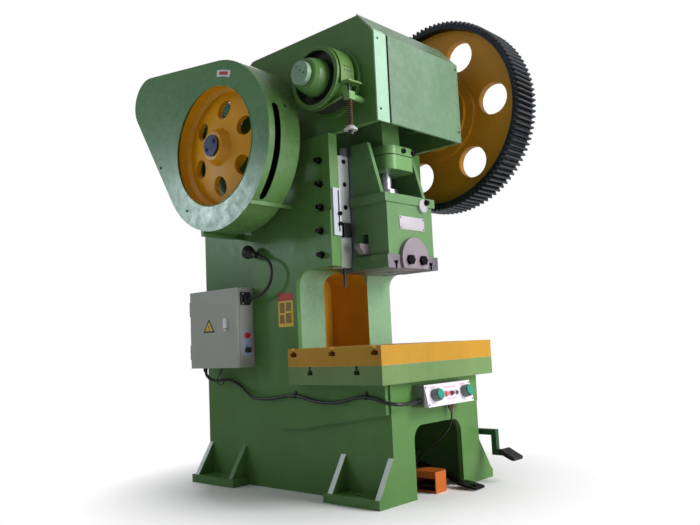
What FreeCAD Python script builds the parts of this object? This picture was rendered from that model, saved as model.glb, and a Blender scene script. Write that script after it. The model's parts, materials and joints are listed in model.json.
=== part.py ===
import FreeCAD, Part
import math
import os
import re
import Sketcher

# Open-front crank press of about a hundred tonnes: a welded C-frame, a geared
# crank drive with a flywheel behind a belt guard, a ram in vee guides, and the
# electrical and foot controls.  Millimetres, +Z up, the operator stands at -Y.
# Inside this file Y is measured from the ram line; every sub-part's Placement
# then moves it by ram_line, so that the footprint is centred on the origin.

SIZES = {
    # footprint
    "ram_line": -431.5,
    # base and side plates
    "side_outer": 392, "side_thick": 40, "doubler_thick": 26, "wall_thick": 30,
    "base_front": -292, "base_rear": 1226, "table_seat": 606,
    "arch_half": 215, "arch_top": 375, "arch_round": 75,
    # feet
    "foot_thick": 48, "foot_outer": 517, "gusset_thick": 35, "gusset_top": 234,
    "gusset_toe": 7, "front_foot_end": 96, "front_gusset": 52,
    "rear_foot_start": 845, "rear_foot_end": 1251, "rear_gusset": 880,
    "anchor_hole": 15, "anchor_x": 470, "anchor_front": -110, "anchor_rear": 1040,
    # throat and neck
    "throat_front": 342, "throat_back": 658, "throat_half": 196, "throat_round": 85,
    "jaw_height": 1245, "jaw_thick": 85, "neck_front": 40,
    "pad_thick": 10, "pad_back": 159, "pad_tall": 307,
    # lower edge of the doubler plate
    "doubler_front": -280, "doubler_nose": 451, "doubler_dip": 362, "doubler_low": 355,
    "doubler_heel": 560, "doubler_back": 724, "doubler_knee": 700,
    "heel_round": 70, "knee_round": 220,
    # head
    "head_half": 385, "head_drop": 274, "head_rise": 340, "head_front": -290,
    "head_chamfer_y": -179, "head_chamfer_drop": 124, "head_back": 740, "head_round": 60,
    "shelf_front": 820, "shelf_step_tall": 170, "shelf_step_drop": 202,
    "cover_thick": 8, "cover_fold": 280, "cover_rise": 7,
    # table and bolster
    "table_half_x": 505, "table_half_y": 340, "table_thick": 97, "bolster_thick": 100,
    "slot_neck": 23, "slot_head": 49, "slot_head_thick": 22, "slot_depth": 46,
    "bolster_slot": 295, "table_slot": 170, "table_slot_neck": 18, "table_slot_head": 40,
    "drop_hole": 110,
    # crankshaft
    "crank_height": 2262, "crank_throw": 65, "crank_pin": 60, "journal": 85,
    "web_radius": 135, "web_inner": 125, "web_outer": 170,
    "drum_shaft": 64, "drum_shaft_end": 662, "gear_shaft": 75,
    "bush_wall": 15, "bearing_boss": 150, "bearing_flange": 195, "bearing_face": 410,
    "bearing_inner": 300, "running_gap": 0.05,
    # brake
    "drum_radius": 170, "drum_rim": 174, "drum_face": 550, "drum_back": 420, "drum_rim_wall": 24,
    "drum_lip": 14, "drum_web": 490, "drum_web_thick": 30, "drum_hub": 95, "drum_hub_face": 630,
    "drum_hole": 11, "drum_hole_circle": 132, "band_thick": 9, "band_gap": 0.4,
    "band_inner_x": 424, "band_outer_x": 528, "lug_drop": 72, "lug_front": -231,
    "lug_thick": 8, "spring_x": 490, "spring_y": -195, "block_drop": 142,
    "block_half": 22, "anchor_pin": 17, "brake_rod": 7, "rod_tail": 31,
    "spring_span": 164, "spring_radius": 15, "spring_wire": 3, "spring_turns": 12,
    "cup_radius": 37, "cup_height": 22,
    # gear train
    "gear_module": 10.9, "pressure_angle": 20, "gear_teeth": 112, "pinion_teeth": 19, "gear_inner": 554,
    "gear_width": 204, "gear_rim": 574, "gear_recess": 58, "gear_web_thick": 47,
    "gear_hub": 225, "gear_hub_step": 282, "gear_hole": 100, "gear_hole_circle": 408,
    "gear_hole_angle": 175.5, "gear_holes": 6, "tooth_backlash": 0.8,
    "clutch_radius": 190, "clutch_inner": 425, "clutch_outer": 548,
    "shaft_drop": 268.6, "shaft_radius": 50, "shaft_boss": 115,
    "shaft_boss_face": 455, "shaft_over": 13,
    # flywheel
    "wheel_radius": 430, "wheel_rim": 368, "wheel_room": 24, "wheel_width": 150,
    "wheel_web_depth": 44, "wheel_web_thick": 34, "wheel_dish": 22, "wheel_hub": 86,
    "wheel_hub_root": 112, "wheel_hub_over": 29, "wheel_hole": 57, "wheel_hole_circle": 225,
    "wheel_hole_angle": 37, "wheel_holes": 6, "groove_count": 4, "groove_depth": 18,
    "groove_top": 22, "groove_floor": 12, "groove_pitch": 28, "groove_edge": 22,
    "belt_rise": 3, "belt_thick": 11, "nut_radius": 63, "nut_thick": 12,
    # motor
    "motor_y": 1317, "motor_rise": 132, "pulley_radius": 98, "motor_radius": 138,
    "motor_left": 480, "motor_length": 400, "motor_rotor": 19, "motor_plate_rise": 53,
    "motor_plate_thick": 24, "motor_foot": 105,
    # belt guard
    "guard_big": 497, "guard_small": 167.3, "guard_outer": 740, "guard_depth": 225,
    "guard_sheet": 4, "guard_opening": 350,
    "guard_slot_x": 62, "guard_slot_half": 22, "guard_slot_rise": 150, "guard_slot_drop": 365,
    "strut_drop": 379.4, "strut_tall": 27, "strut_thick": 8,
    # ram
    "ram_half": 207, "ram_front": -180, "ram_back": 190, "sole_thick": 76,
    "ram_tall": 344, "ram_flange": 228, "ram_flange_thick": 50, "ram_flange_front": -190,
    "sole_bottom": 1220, "sole_half": 229, "sole_slot": 160, "sole_neck": 18, "sole_head": 33,
    "sole_neck_deep": 28, "sole_head_deep": 42,
    "wing_thick": 27, "wing_rise": 309, "wing_top_front": -61, "wing_foot_front": -146,
    "shank_bore": 30, "shank_depth": 90,
    "clamp_radius": 120, "clamp_rise": 57, "clamp_front": -206, "clamp_back": -75,
    "clamp_gap": 0.3, "clamp_bolt_x": 58, "clamp_bolt_drop": 9, "clamp_bolt": 12, "clamp_across": 50,
    "knockout_front": -36, "knockout_back": 6, "knockout_rise": 14,
    "knockout_slot": 116, "knockout_bar": 56, "knockout_half": 280, "knockout_gap": 0.6,
    "knockout_bevel": 34, "knockout_nose": 18,
    # guides
    "gib_inner": 210, "gib_outer": 296, "gib_front": 90, "gib_back": 166,
    "gib_long": 645, "vee_depth": 25, "guide_gap": 0.4, "seat_inner": 238, "seat_back": 250,
    "gib_screw": 9, "gib_screw_x": 250, "gib_screw_start": 346, "gib_screw_end": 33,
    "bolt_y": 115, "bolt_start": 66, "bolt_pitch": 133, "bolt_count": 5, "bolt_radius": 12,
    "bolt_across": 36, "bolt_head": 16, "scale_inner": 350, "scale_outer": 410,
    "scale_thick": 10, "scale_start": 168, "scale_long": 266, "scale_slot": 10,
    "stop_inner": 232, "stop_outer": 292, "stop_start": 171, "stop_tall": 81, "stop_thick": 24,
    "ejector_x": 259, "ejector_y": 108, "ejector_radius": 9, "ejector_long": 110,
    # connecting rod and adjusting screw
    "rod_half": 105, "rod_mouth": 76, "rod_ring": 40, "rod_shank_half": 78,
    "block_half_x": 120, "block_front": -153, "block_back": 125, "screw_shown": 157,
    "block_tall": 138, "block_round": 55, "block_split": 6, "block_split_drop": 55,
    "screw_radius": 50, "ball_radius": 62, "ball_rise": 274, "ball_gap": 0.3,
    "seat_ring": 80, "seat_ring_height": 58,
    # cabinet and lamp
    "cabinet_outer": 541, "cabinet_front": 735, "cabinet_rear": 1199, "cabinet_low": 705,
    "cabinet_high": 1180, "cabinet_sheet": 6, "door_thick": 18, "door_gap": 1.5,
    "hinge_x": 532, "hinge_y": 1207, "hinge_radius": 7, "hinge_pin": 4, "hinge_long": 30,
    "hinge_low": 790, "hinge_high": 1060, "hinge_play": 0.3, "hinge_tab": 4,
    "latch_y": 839, "latch_low": 926, "latch_high": 1004, "latch_radius": 14,
    "latch_thick": 12, "knob_x": 471, "knob_height": 807, "knob_radius": 16, "knob_long": 26,
    "beacon_height": 893, "beacon_radius": 15, "beacon_long": 20,
    "lamp_base_x": 475, "lamp_base_height": 1112, "lamp_base_half": 24, "lamp_base_long": 34,
    "neck_radius": 8, "lamp_big": 40, "lamp_small": 19, "lamp_long": 96,
    "lamp_wall": 3, "lens_back": 12, "lens_thick": 4,
    # control box
    "panel_half": 209, "panel_low": 472, "panel_high": 585, "panel_low_y": -394,
    "panel_high_y": -368, "panel_sheet": 4, "palm_x": 137, "palm_ring": 33, "palm_cap": 27,
    "palm_ring_long": 34, "palm_cap_start": 8, "palm_cap_long": 44, "palm_stem": 14,
    "palm_stem_back": -30, "button_radius": 11,
    "button_long": 16, "button_gap": 0.4, "pilot_long": 13, "stop_x": 12, "start_x": 62, "pilot_x": -35,
    "gland_x": 80, "gland_y": -330, "gland_radius": 17, "gland_long": 45,
    # conduit and foot switch cable
    "conduit_radius": 9, "clip_width": 22, "clip_thick": 3, "foot_cable": 5,
    "switch_x": 10, "switch_y": -215, "switch_half_x": 62, "switch_half_y": 78,
    "switch_tall": 112, "switch_wall": 5, "switch_round": 42, "switch_mouth": 78,
    "pedal_thick": 9, "pedal_height": 34, "pedal_pivot_x": 41, "pedal_pivot_z": 38.5,
    "pedal_pin": 4,
    # treadles
    "treadle_x": 430, "treadle_bar": 32, "treadle_pivot_y": -70, "treadle_pivot_z": 272,
    "treadle_boss": 30, "treadle_pin": 14, "treadle_pad": 96, "lever_x": 152,
    "lever_bar": 26, "lever_pivot_y": 150, "lever_pivot_z": 150, "lever_pad": 92,
    # sizes that follow from the ones above
    "head_bottom": "=crank_height - head_drop",
    "head_top": "=crank_height + head_rise",
    "head_chamfer_z": "=head_top - head_chamfer_drop",
    "shelf_step": "=head_top - shelf_step_drop",
    "shelf_height": "=shelf_step - shelf_step_tall",
    "motor_plate": "=shelf_height + motor_plate_rise",
    "motor_height": "=motor_plate + motor_rise",
    "gib_top": "=jaw_height + gib_long",
    "pad_top": "=jaw_height + pad_tall",
    "bolt_low": "=jaw_height + bolt_start",
    "ejector_low": "=jaw_height - ejector_long",
    "gib_screw_low": "=jaw_height + gib_screw_start",
    "gib_screw_high": "=gib_top - gib_screw_end",
    "scale_low": "=jaw_height + scale_start",
    "scale_high": "=scale_low + scale_long",
    "stop_low": "=jaw_height + stop_start",
    "stop_high": "=stop_low + stop_tall",
    "lug_height": "=crank_height - lug_drop",
    "shaft_height": "=crank_height - shaft_drop",
    "shaft_y": "=sqrt((gear_module * (gear_teeth + pinion_teeth) / 2) ^ 2 - shaft_drop ^ 2)",
    "strut_height": "=shaft_height - strut_drop",
    "ram_bottom": "=sole_bottom + sole_thick",
    "ram_top": "=ram_bottom + ram_tall",
    "ram_flange_bottom": "=ram_top - ram_flange_thick",
    "wing_top": "=ram_top + wing_rise",
    "clamp_centre": "=sole_bottom + clamp_rise",
    "clamp_bolt_z": "=clamp_centre - clamp_bolt_drop",
    "knockout_bottom": "=ram_bottom + knockout_rise",
    "block_bottom": "=ram_top + screw_shown",
    "block_top": "=block_bottom + block_tall",
    "block_split_height": "=block_top - block_split_drop",
    "block_height": "=crank_height - block_drop",
    "spring_bottom": "=block_height - spring_span",
    "brake_rod_end": "=spring_bottom - rod_tail",
    "gear_outer": "=gear_inner + gear_width",
    "gear_web_inner": "=gear_inner + gear_recess",
    "gear_web_outer": "=gear_web_inner + gear_web_thick",
    "gear_shaft_end": "=gear_outer",
    "guard_inner": "=guard_outer - guard_depth",
    "wheel_outer": "=guard_outer - wheel_room",
    "wheel_inner": "=wheel_outer - wheel_width",
    "wheel_web": "=wheel_outer - wheel_web_depth",
    "wheel_hub_face": "=wheel_outer + wheel_hub_over",
    "groove_start": "=wheel_inner + groove_edge",
    "shaft_left": "=wheel_hub_face + shaft_over",
    "ball_height": "=ram_bottom + ball_rise",
}

DOC = FreeCAD.newDocument("crank_press")
SHEET = DOC.addObject("Spreadsheet::Sheet", "dims")
for row, (alias, size) in enumerate(SIZES.items(), start=1):
    SHEET.set(f"A{row}", alias)
    SHEET.set(f"B{row}", str(size))
    SHEET.setAlias(f"B{row}", alias)
DOC.recompute()

VECTOR = FreeCAD.Vector
AXES = {"x": VECTOR(1, 0, 0), "y": VECTOR(0, 1, 0), "z": VECTOR(0, 0, 1)}
TURNS = {
    "x": FreeCAD.Rotation(VECTOR(0, 1, 0), 90),
    "y": FreeCAD.Rotation(VECTOR(1, 0, 0), -90),
    "z": FreeCAD.Rotation(),
}
PLANES = {"x": "YZ_Plane", "y": "XZ_Plane", "z": "XY_Plane"}
NODES = []


# ---------------------------------------------------------------- expressions
def link(text):
    """Point every size named in an expression at its cell of the sheet."""
    return re.sub(r"[a-z]\w*", lambda m: "dims." + m[0] if m[0] in SIZES else m[0], text)


def value(text):
    """The number that an expression over the sheet's sizes has now."""
    return float(SHEET.evalExpression(link(text)))


def bind(thing, **links):
    """Bind properties to expressions; a double underscore stands for a dot."""
    for name, text in links.items():
        thing.setExpression(name.replace("__", "."), link(text))
    return thing


# ---------------------------------------------------------------- solid helpers
def box(name, x0, x1, y0, y1, z0, z1):
    """A rectangular block between two corners."""
    block = DOC.addObject("Part::Box", name)
    bind(block, Length=f"({x1}) - ({x0})", Width=f"({y1}) - ({y0})", Height=f"({z1}) - ({z0})")
    return bind(block, Placement__Base__x=x0, Placement__Base__y=y0, Placement__Base__z=z0)


def along(thing, axis, first, second, start):
    """Stand a Z-built solid along an axis, at its two other coordinates."""
    thing.Placement.Rotation = TURNS[axis]
    order = {"x": (start, first, second), "y": (first, start, second), "z": (first, second, start)}
    x, y, z = order[axis]
    return bind(thing, Placement__Base__x=x, Placement__Base__y=y, Placement__Base__z=z)


def rod(name, axis, first, second, start, end, radius):
    """A round bar from start to end along an axis."""
    bar = DOC.addObject("Part::Cylinder", name)
    bind(bar, Radius=radius, Height=f"({end}) - ({start})")
    return along(bar, axis, first, second, start)


def hexagon(name, axis, first, second, start, end, across):
    """A hexagonal head or nut, sized across its flats."""
    nut = DOC.addObject("Part::Prism", name)
    nut.Polygon = 6
    bind(nut, Circumradius=f"({across}) / 2 / cos(30)", Height=f"({end}) - ({start})")
    return along(nut, axis, first, second, start)


def fuse(name, *pieces):
    """Weld pieces into one solid."""
    whole = DOC.addObject("Part::MultiFuse", name)
    whole.Shapes = list(pieces)
    whole.Refine = True
    return whole


def cut(name, base, *tools):
    """Take one or more tools out of a base."""
    result = DOC.addObject("Part::Cut", name)
    result.Base = base
    result.Tool = tools[0] if len(tools) == 1 else fuse(name + "_tools", *tools)
    result.Refine = True
    return result


def group(name, *pieces):
    """Keep several like pieces as separate solids of one sub-part."""
    bundle = DOC.addObject("Part::Compound", name)
    bundle.Links = list(pieces)
    return bundle


def mirrored(name, source):
    """The twin of a piece on the other side of the press."""
    twin = DOC.addObject("Part::Mirroring", name)
    twin.Source = source
    twin.Normal = AXES["x"]
    return twin


def outline_sketch(body, name, plane, points):
    """A closed polygon whose corners are bound to the sheet."""
    sketch = body.newObject("Sketcher::SketchObject", name)
    datum = [item for item in body.Origin.OriginFeatures if item.Role == plane][0]
    sketch.AttachmentSupport = [(datum, "")]
    sketch.MapMode = "FlatFace"
    corners = [VECTOR(value(a), value(b), 0) for a, b in points]
    count = len(corners)
    for k in range(count):
        sketch.addGeometry(Part.LineSegment(corners[k], corners[(k + 1) % count]), False)
    for k in range(count):
        sketch.addConstraint(Sketcher.Constraint("Coincident", k, 2, (k + 1) % count, 1))
    for k, pair in enumerate(points):
        for kind, now, text in zip(("DistanceX", "DistanceY"), corners[k], pair):
            index = sketch.addConstraint(Sketcher.Constraint(kind, -1, 1, k, 1, now))
            label = f"{kind}{k}"
            sketch.renameConstraint(index, label)
            sketch.setExpression("Constraints." + label, link(text))
    return sketch


def round_corners(body, feature, name, axis, points, radius):
    """Round the long edges of a pad that stand on the given corners."""
    DOC.recompute()
    keep = [i for i, letter in enumerate("xyz") if letter != axis]
    wanted = [(value(a), value(b)) for a, b in points]
    names = []
    for index, edge in enumerate(feature.Shape.Edges, start=1):
        ends = [v.Point for v in edge.Vertexes]
        if len(ends) != 2 or abs((ends[1] - ends[0]).normalize().dot(AXES[axis])) < 0.999:
            continue
        spot = (ends[0][keep[0]], ends[0][keep[1]])
        if any(math.dist(spot, corner) < 0.01 for corner in wanted):
            names.append(f"Edge{index}")
    rounded = body.newObject("PartDesign::Fillet", name)
    rounded.Base = (feature, names)
    bind(rounded, Radius=radius)
    return rounded


def profile(name, axis, start, end, points, rounds=()):
    """A plate or block: a polygon across one axis, padded from start to end."""
    body = DOC.addObject("PartDesign::Body", name)
    sketch = outline_sketch(body, name + "_outline", PLANES[axis], points)
    sign = "-" if axis == "y" else ""
    bind(sketch, AttachmentOffset__Base__z=f"{sign}({start})")
    feature = body.newObject("PartDesign::Pad", name + "_pad")
    feature.Profile = sketch
    feature.Reversed = axis == "y"
    bind(feature, Length=f"({end}) - ({start})")
    for k, (corners, radius) in enumerate(rounds):
        feature = round_corners(body, feature, f"{name}_round{k}", axis, corners, radius)
    body.Tip = feature
    return body


def turned(name, axis, first, second, points):
    """A turned piece: (place along the axis, radius) points, revolved once."""
    body = DOC.addObject("PartDesign::Body", name)
    plane = {"x": "XY_Plane", "y": "YZ_Plane", "z": "XZ_Plane"}[axis]
    spots = [(b, a) for a, b in points] if axis == "z" else points
    sketch = outline_sketch(body, name + "_section", plane, spots)
    feature = body.newObject("PartDesign::Revolution", name + "_turn")
    feature.Profile = sketch
    feature.ReferenceAxis = (sketch, ["V_Axis" if axis == "z" else "H_Axis"])
    feature.Angle = 360
    body.Tip = feature
    x, y, z = {"x": ("0", first, second), "y": (first, "0", second), "z": (first, second, "0")}[axis]
    return bind(body, Placement__Base__x=x, Placement__Base__y=y, Placement__Base__z=z)


def formed(name, shape):
    """A piece whose shape follows a formula that the other helpers lack."""
    piece = DOC.addObject("Part::Feature", name)
    piece.Shape = shape
    return piece


def node(label, thing):
    """Name a finished sub-part and place it from the ram line."""
    thing.Label = label
    now = dict(thing.ExpressionEngine)
    own = now.get(".Placement.Base.y") or now.get("Placement.Base.y") or thing.Placement.Base.y
    thing.setExpression("Placement.Base.y", f"({own}) + dims.ram_line")
    NODES.append(thing)
    return thing


def ring_of(count, radius, angle):
    """Places round a circle, in the plane across X, from a first angle."""
    step = 360 / value(count)
    spots = []
    for k in range(round(value(count))):
        turn = f"({angle} + {k * step})"
        spots.append((f"({radius}) * cos({turn})", f"({radius}) * sin({turn})"))
    return spots


# ---------------------------------------------------------------- frame
def throat_outline(front, low):
    """The C of a side plate: jaw, column and neck, down to a lower edge."""
    return [("neck_front", "head_bottom"), ("neck_front", "jaw_height"),
            ("throat_front", "jaw_height"), ("throat_front", "table_seat"),
            (front, "table_seat"), (front, low)]


def side_plate():
    """Main side plate, from the floor to the head."""
    points = throat_outline("base_front", "0") + [("base_rear", "0"), ("base_rear", "head_bottom")]
    corner = [("throat_front", "jaw_height")]
    return profile("side_plate", "x", "side_outer - side_thick", "side_outer", points,
                   [(corner, "throat_round")])


def doubler_plate():
    """Second plate outside the C, with its swept lower edge."""
    points = throat_outline("doubler_front", "doubler_nose")
    points += [("doubler_dip", "doubler_low"), ("doubler_heel", "doubler_low"),
               ("doubler_back", "doubler_knee"), ("doubler_back", "head_bottom")]
    return profile("doubler_plate", "x", "side_outer", "side_outer + doubler_thick", points,
                   [([("throat_front", "jaw_height")], "throat_round"),
                    ([("doubler_heel", "doubler_low")], "heel_round"),
                    ([("doubler_back", "doubler_knee")], "knee_round")])


def guide_pad():
    """Raised pad that carries the lower adjusting bolts."""
    return box("guide_pad", "side_outer + doubler_thick", "side_outer + doubler_thick + pad_thick",
               "neck_front", "pad_back", "jaw_height", "pad_top")


def head_plate():
    """Side plate of the head, with the sloping brow and the motor shelf."""
    points = [("head_front", "head_bottom"), ("head_front", "head_chamfer_z"),
              ("head_chamfer_y", "head_top"), ("head_back", "head_top"),
              ("head_back", "shelf_step"), ("shelf_front", "shelf_height"),
              ("base_rear", "shelf_height"), ("base_rear", "head_bottom")]
    return profile("head_plate", "x", "side_outer - side_thick", "head_half", points,
                   [([("head_back", "head_top")], "head_round")])


def foot_plate(name, start, end):
    """Floor flange of one foot."""
    return box(name, "side_outer", "foot_outer", start, end, "0", "foot_thick")


def gusset(name, start):
    """Sloped rib between the side plate and the foot."""
    points = [("side_outer", "foot_thick"), ("foot_outer - gusset_toe", "foot_thick"),
              ("side_outer", "gusset_top")]
    return profile(name, "y", start, f"({start}) + gusset_thick", points)


def bearing_boss(name, y, z, radius, inner, outer):
    """Round boss that holds a bearing in the side plate."""
    return rod(name, "x", y, z, inner, outer, radius)


def one_side():
    """Everything of the frame on the right of the centre plane."""
    pieces = [side_plate(), doubler_plate(), guide_pad(), head_plate(),
              foot_plate("front_foot", "base_front", "front_foot_end"),
              foot_plate("rear_foot", "rear_foot_start", "rear_foot_end"),
              gusset("gusset_a", "base_front"), gusset("gusset_b", "front_gusset - gusset_thick / 2"),
              gusset("gusset_c", "rear_gusset - gusset_thick / 2"),
              gusset("gusset_d", "base_rear - gusset_thick"),
              bearing_boss("crank_boss", "0", "crank_height", "bearing_boss", "bearing_inner",
                           "head_half"),
              bearing_boss("crank_flange", "0", "crank_height", "bearing_flange", "head_half",
                           "bearing_face"),
              bearing_boss("drive_boss", "shaft_y", "shaft_height", "shaft_boss",
                           "side_outer - side_thick", "shaft_boss_face"),
              box("guide_seat", "seat_inner", "side_outer - side_thick", "gib_back", "seat_back",
                  "jaw_height", "gib_top")]
    return fuse("one_side", *pieces)


def throat_block():
    """Boxed columns, ceiling and back wall of the throat."""
    points = [("throat_front", "table_seat"), ("throat_back + wall_thick", "table_seat"),
              ("throat_back + wall_thick", "jaw_height + jaw_thick"),
              ("seat_back - wall_thick", "jaw_height + jaw_thick"),
              ("seat_back - wall_thick", "jaw_height"), ("throat_front", "jaw_height")]
    block = profile("throat_mass", "x", "-(side_outer - side_thick)", "side_outer - side_thick",
                    points, [([("throat_front", "jaw_height")], "throat_round")])
    tunnel = profile("throat_tunnel", "y", "seat_back - 2 * wall_thick", "throat_back",
                     [("-throat_half", "table_seat - 1"), ("throat_half", "table_seat - 1"),
                      ("throat_half", "jaw_height"), ("-throat_half", "jaw_height")],
                     [([("throat_half", "jaw_height"), ("-throat_half", "jaw_height")],
                       "throat_round")])
    return cut("throat_block", block, tunnel)


def front_plate():
    """Front wall of the base, with the arch for the foot switch."""
    wall = box("front_wall", "-side_outer", "side_outer", "base_front", "base_front + wall_thick",
               "0", "table_seat")
    arch = profile("arch", "y", "base_front - 1", "base_front + wall_thick + 1",
                   [("-arch_half", "-1"), ("arch_half", "-1"), ("arch_half", "arch_top"),
                    ("-arch_half", "arch_top")],
                   [([("arch_half", "arch_top"), ("-arch_half", "arch_top")], "arch_round")])
    return cut("front_plate", wall, arch)


def frame_weldment():
    """The whole welded frame, bored for its two shafts and its anchors."""
    right = one_side()
    left = mirrored("other_side", right)
    inner = "side_outer - side_thick"
    rear = box("rear_wall", f"-({inner})", inner, "base_rear - wall_thick", "base_rear", "0",
               "shelf_height")
    shelf = box("motor_shelf", f"-({inner})", inner, "shelf_front", "base_rear",
                "shelf_height - wall_thick", "shelf_height")
    roof = box("roof", f"-({inner})", inner, "head_chamfer_y + 10", "head_back - head_round",
               "head_top - wall_thick", "head_top")
    floor = box("bed_floor", f"-({inner})", inner, "base_front", "throat_back + wall_thick",
                "table_seat - wall_thick", "table_seat")
    drop = rod("bed_hole", "z", "0", "0", "table_seat - wall_thick - 1", "table_seat + 1", "drop_hole")
    bores = [rod("crank_bore", "x", "0", "crank_height", "-bearing_face - 1", "bearing_face + 1",
                 "journal + bush_wall"),
             rod("drive_bore", "x", "shaft_y", "shaft_height", "-shaft_boss_face - 1",
                 "shaft_boss_face + 1", "shaft_radius + bush_wall")]
    anchors = []
    for side in ("-", ""):
        for k, y in enumerate(("anchor_front", "anchor_rear")):
            name = f"anchor{len(anchors)}"
            anchors.append(rod(name, "z", side + "anchor_x", y, "-1", "foot_thick + 1", "anchor_hole"))
    bolts = []
    for side, (near, far) in (("l", ("-side_outer - 50", "-side_outer + side_thick + 1")),
                              ("r", ("side_outer - side_thick - 1", "side_outer + 50"))):
        for k in range(round(value("bolt_count"))):
            bolts.append(rod(f"bolt_way_{side}{k}", "x", "bolt_y", f"bolt_low + {k} * bolt_pitch",
                             near, far, "bolt_radius"))
    body = fuse("frame_body", right, left, throat_block(), front_plate(), rear, shelf, roof, floor)
    return node("frame_weldment", cut("frame", body, drop, *bores, *anchors, *bolts))


def tee_slot(name, y, top, neck, head, thick, depth):
    """A tee slot along X: neck up to the face and a wider head below it."""
    ends = ("-table_half_x - 1", "table_half_x + 1")
    throat = box(name + "_neck", *ends, f"({y}) - {neck} / 2", f"({y}) + {neck} / 2",
                 f"{top} - {depth}", f"{top} + 1")
    wide = box(name + "_head", *ends, f"({y}) - {head} / 2", f"({y}) + {head} / 2",
               f"{top} - {depth}", f"{top} - {depth} + {thick}")
    return [throat, wide]


def bed_table():
    """Green table on top of the base, with its own two tee slots."""
    top = "(table_seat + table_thick)"
    slab = box("table_slab", "-table_half_x", "table_half_x", "-table_half_y", "table_half_y",
               "table_seat", top)
    slots = tee_slot("table_slot_a", "-table_slot", top, "table_slot_neck", "table_slot_head",
                     "slot_head_thick", "slot_depth")
    slots += tee_slot("table_slot_b", "table_slot", top, "table_slot_neck", "table_slot_head",
                      "slot_head_thick", "slot_depth")
    hole = rod("table_hole", "z", "0", "0", "table_seat - 1", top + " + 1", "drop_hole")
    return node("bed_table", cut("table", slab, hole, *slots))


def bolster_plate():
    """Yellow bolster with three tee slots and the scrap hole."""
    low = "table_seat + table_thick"
    top = "(table_seat + table_thick + bolster_thick)"
    slab = box("bolster_slab", "-table_half_x", "table_half_x", "-table_half_y", "table_half_y",
               low, top)
    slots = []
    for name, y in (("a", "-bolster_slot"), ("b", "0"), ("c", "bolster_slot")):
        slots += tee_slot("bolster_slot_" + name, y, top, "slot_neck", "slot_head",
                          "slot_head_thick", "slot_depth")
    hole = rod("bolster_hole", "z", "0", "0", low + " - 1", top + " + 1", "drop_hole - 30")
    return node("bolster_plate", cut("bolster", slab, hole, *slots))


def head_cover():
    """Folded sheet over the front of the head, with its raised middle."""
    front = "head_front - cover_thick"
    points = [(front, "head_bottom"), ("head_front", "head_bottom"), ("head_front", "head_chamfer_z"),
              ("head_chamfer_y", "head_top"), ("head_chamfer_y", "head_top + cover_thick"),
              ("head_chamfer_y - 4", "head_top + cover_thick"),
              (front, "head_chamfer_z + cover_thick / 2")]
    shell = profile("cover_sheet", "x", "-head_half", "head_half", points)
    raised = box("cover_middle", "-cover_fold", "head_half", f"{front} - cover_rise", front,
                 "head_bottom", "head_chamfer_z")
    return node("head_cover", fuse("cover", shell, raised))


# ---------------------------------------------------------------- crank and brake
def crankshaft():
    """One forging: two shaft ends, two journals, two webs and the pin."""
    outline = [("-drum_shaft_end", "0"), ("-drum_shaft_end", "drum_shaft"),
               ("-bearing_face - 4", "drum_shaft"), ("-bearing_face - 4", "journal"),
               ("-web_outer", "journal"), ("-web_outer", "web_radius"),
               ("-web_inner", "web_radius"), ("-web_inner", "0")]
    right = [("web_inner", "0"), ("web_inner", "web_radius"), ("web_outer", "web_radius"),
             ("web_outer", "journal"), ("bearing_face + 4", "journal"),
             ("bearing_face + 4", "gear_shaft"), ("gear_shaft_end", "gear_shaft"),
             ("gear_shaft_end", "0")]
    left_half = turned("crank_left", "x", "0", "crank_height", outline)
    right_half = turned("crank_right", "x", "0", "crank_height", right)
    pin = rod("crank_throw_pin", "x", "0", "crank_height + crank_throw", "-web_outer", "web_outer",
              "crank_pin")
    return node("crankshaft", fuse("crank", left_half, right_half, pin))


def bush(name, y, z, inner, outer, bore):
    """Flangeless bush with running clearance on its shaft."""
    wall = rod(name + "_wall", "x", y, z, inner, outer, f"{bore} + bush_wall")
    hole = rod(name + "_bore", "x", y, z, f"({inner}) - 1", f"({outer}) + 1",
               f"{bore} + running_gap")
    return cut(name, wall, hole)


def shaft_bushes():
    """Bronze bushes of the crank journals, and those of the back shaft in the frame's bosses."""
    crank = bush("crank_bush_right", "0", "crank_height", "bearing_inner", "bearing_face", "journal")
    back = bush("back_bush_right", "shaft_y", "shaft_height", "side_outer - side_thick - 20",
                "shaft_boss_face", "shaft_radius")
    return node("shaft_bushes", group("bush_set", crank, mirrored("crank_bush_left", crank), back,
                                      mirrored("back_bush_left", back)))


def brake_drum():
    """Open drum on the left shaft end, with a lipped rim and a deep hub."""
    bore = "drum_shaft"
    points = [("-drum_hub_face", bore), ("-drum_hub_face", "drum_hub - 22"),
              ("-drum_hub_face + 8", "drum_hub - 10"), ("-drum_hub_face + 30", "drum_hub"),
              ("-drum_web - drum_web_thick / 2", "drum_hub + 18"),
              ("-drum_web - drum_web_thick / 2", "drum_radius - drum_rim_wall"),
              ("-drum_face", "drum_radius - drum_rim_wall + 4"), ("-drum_face", "drum_rim"),
              ("-drum_face + drum_lip", "drum_rim"), ("-drum_face + drum_lip", "drum_radius"),
              ("-drum_back", "drum_radius"), ("-drum_back", "drum_radius - drum_rim_wall"),
              ("-drum_web + drum_web_thick / 2", "drum_radius - drum_rim_wall"),
              ("-drum_web + drum_web_thick / 2", "drum_hub"), ("-drum_back", "drum_hub"),
              ("-drum_back", bore)]
    wheel = turned("drum_body", "x", "0", "crank_height", points)
    holes = [rod(f"drum_hole{k}", "x", y, "crank_height + " + z, "-drum_web - drum_web_thick",
                 "-drum_web + drum_web_thick", "drum_hole")
             for k, (y, z) in enumerate(ring_of("4", "drum_hole_circle", "62"))]
    return node("brake_drum", cut("drum", wheel, *holes))


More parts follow.
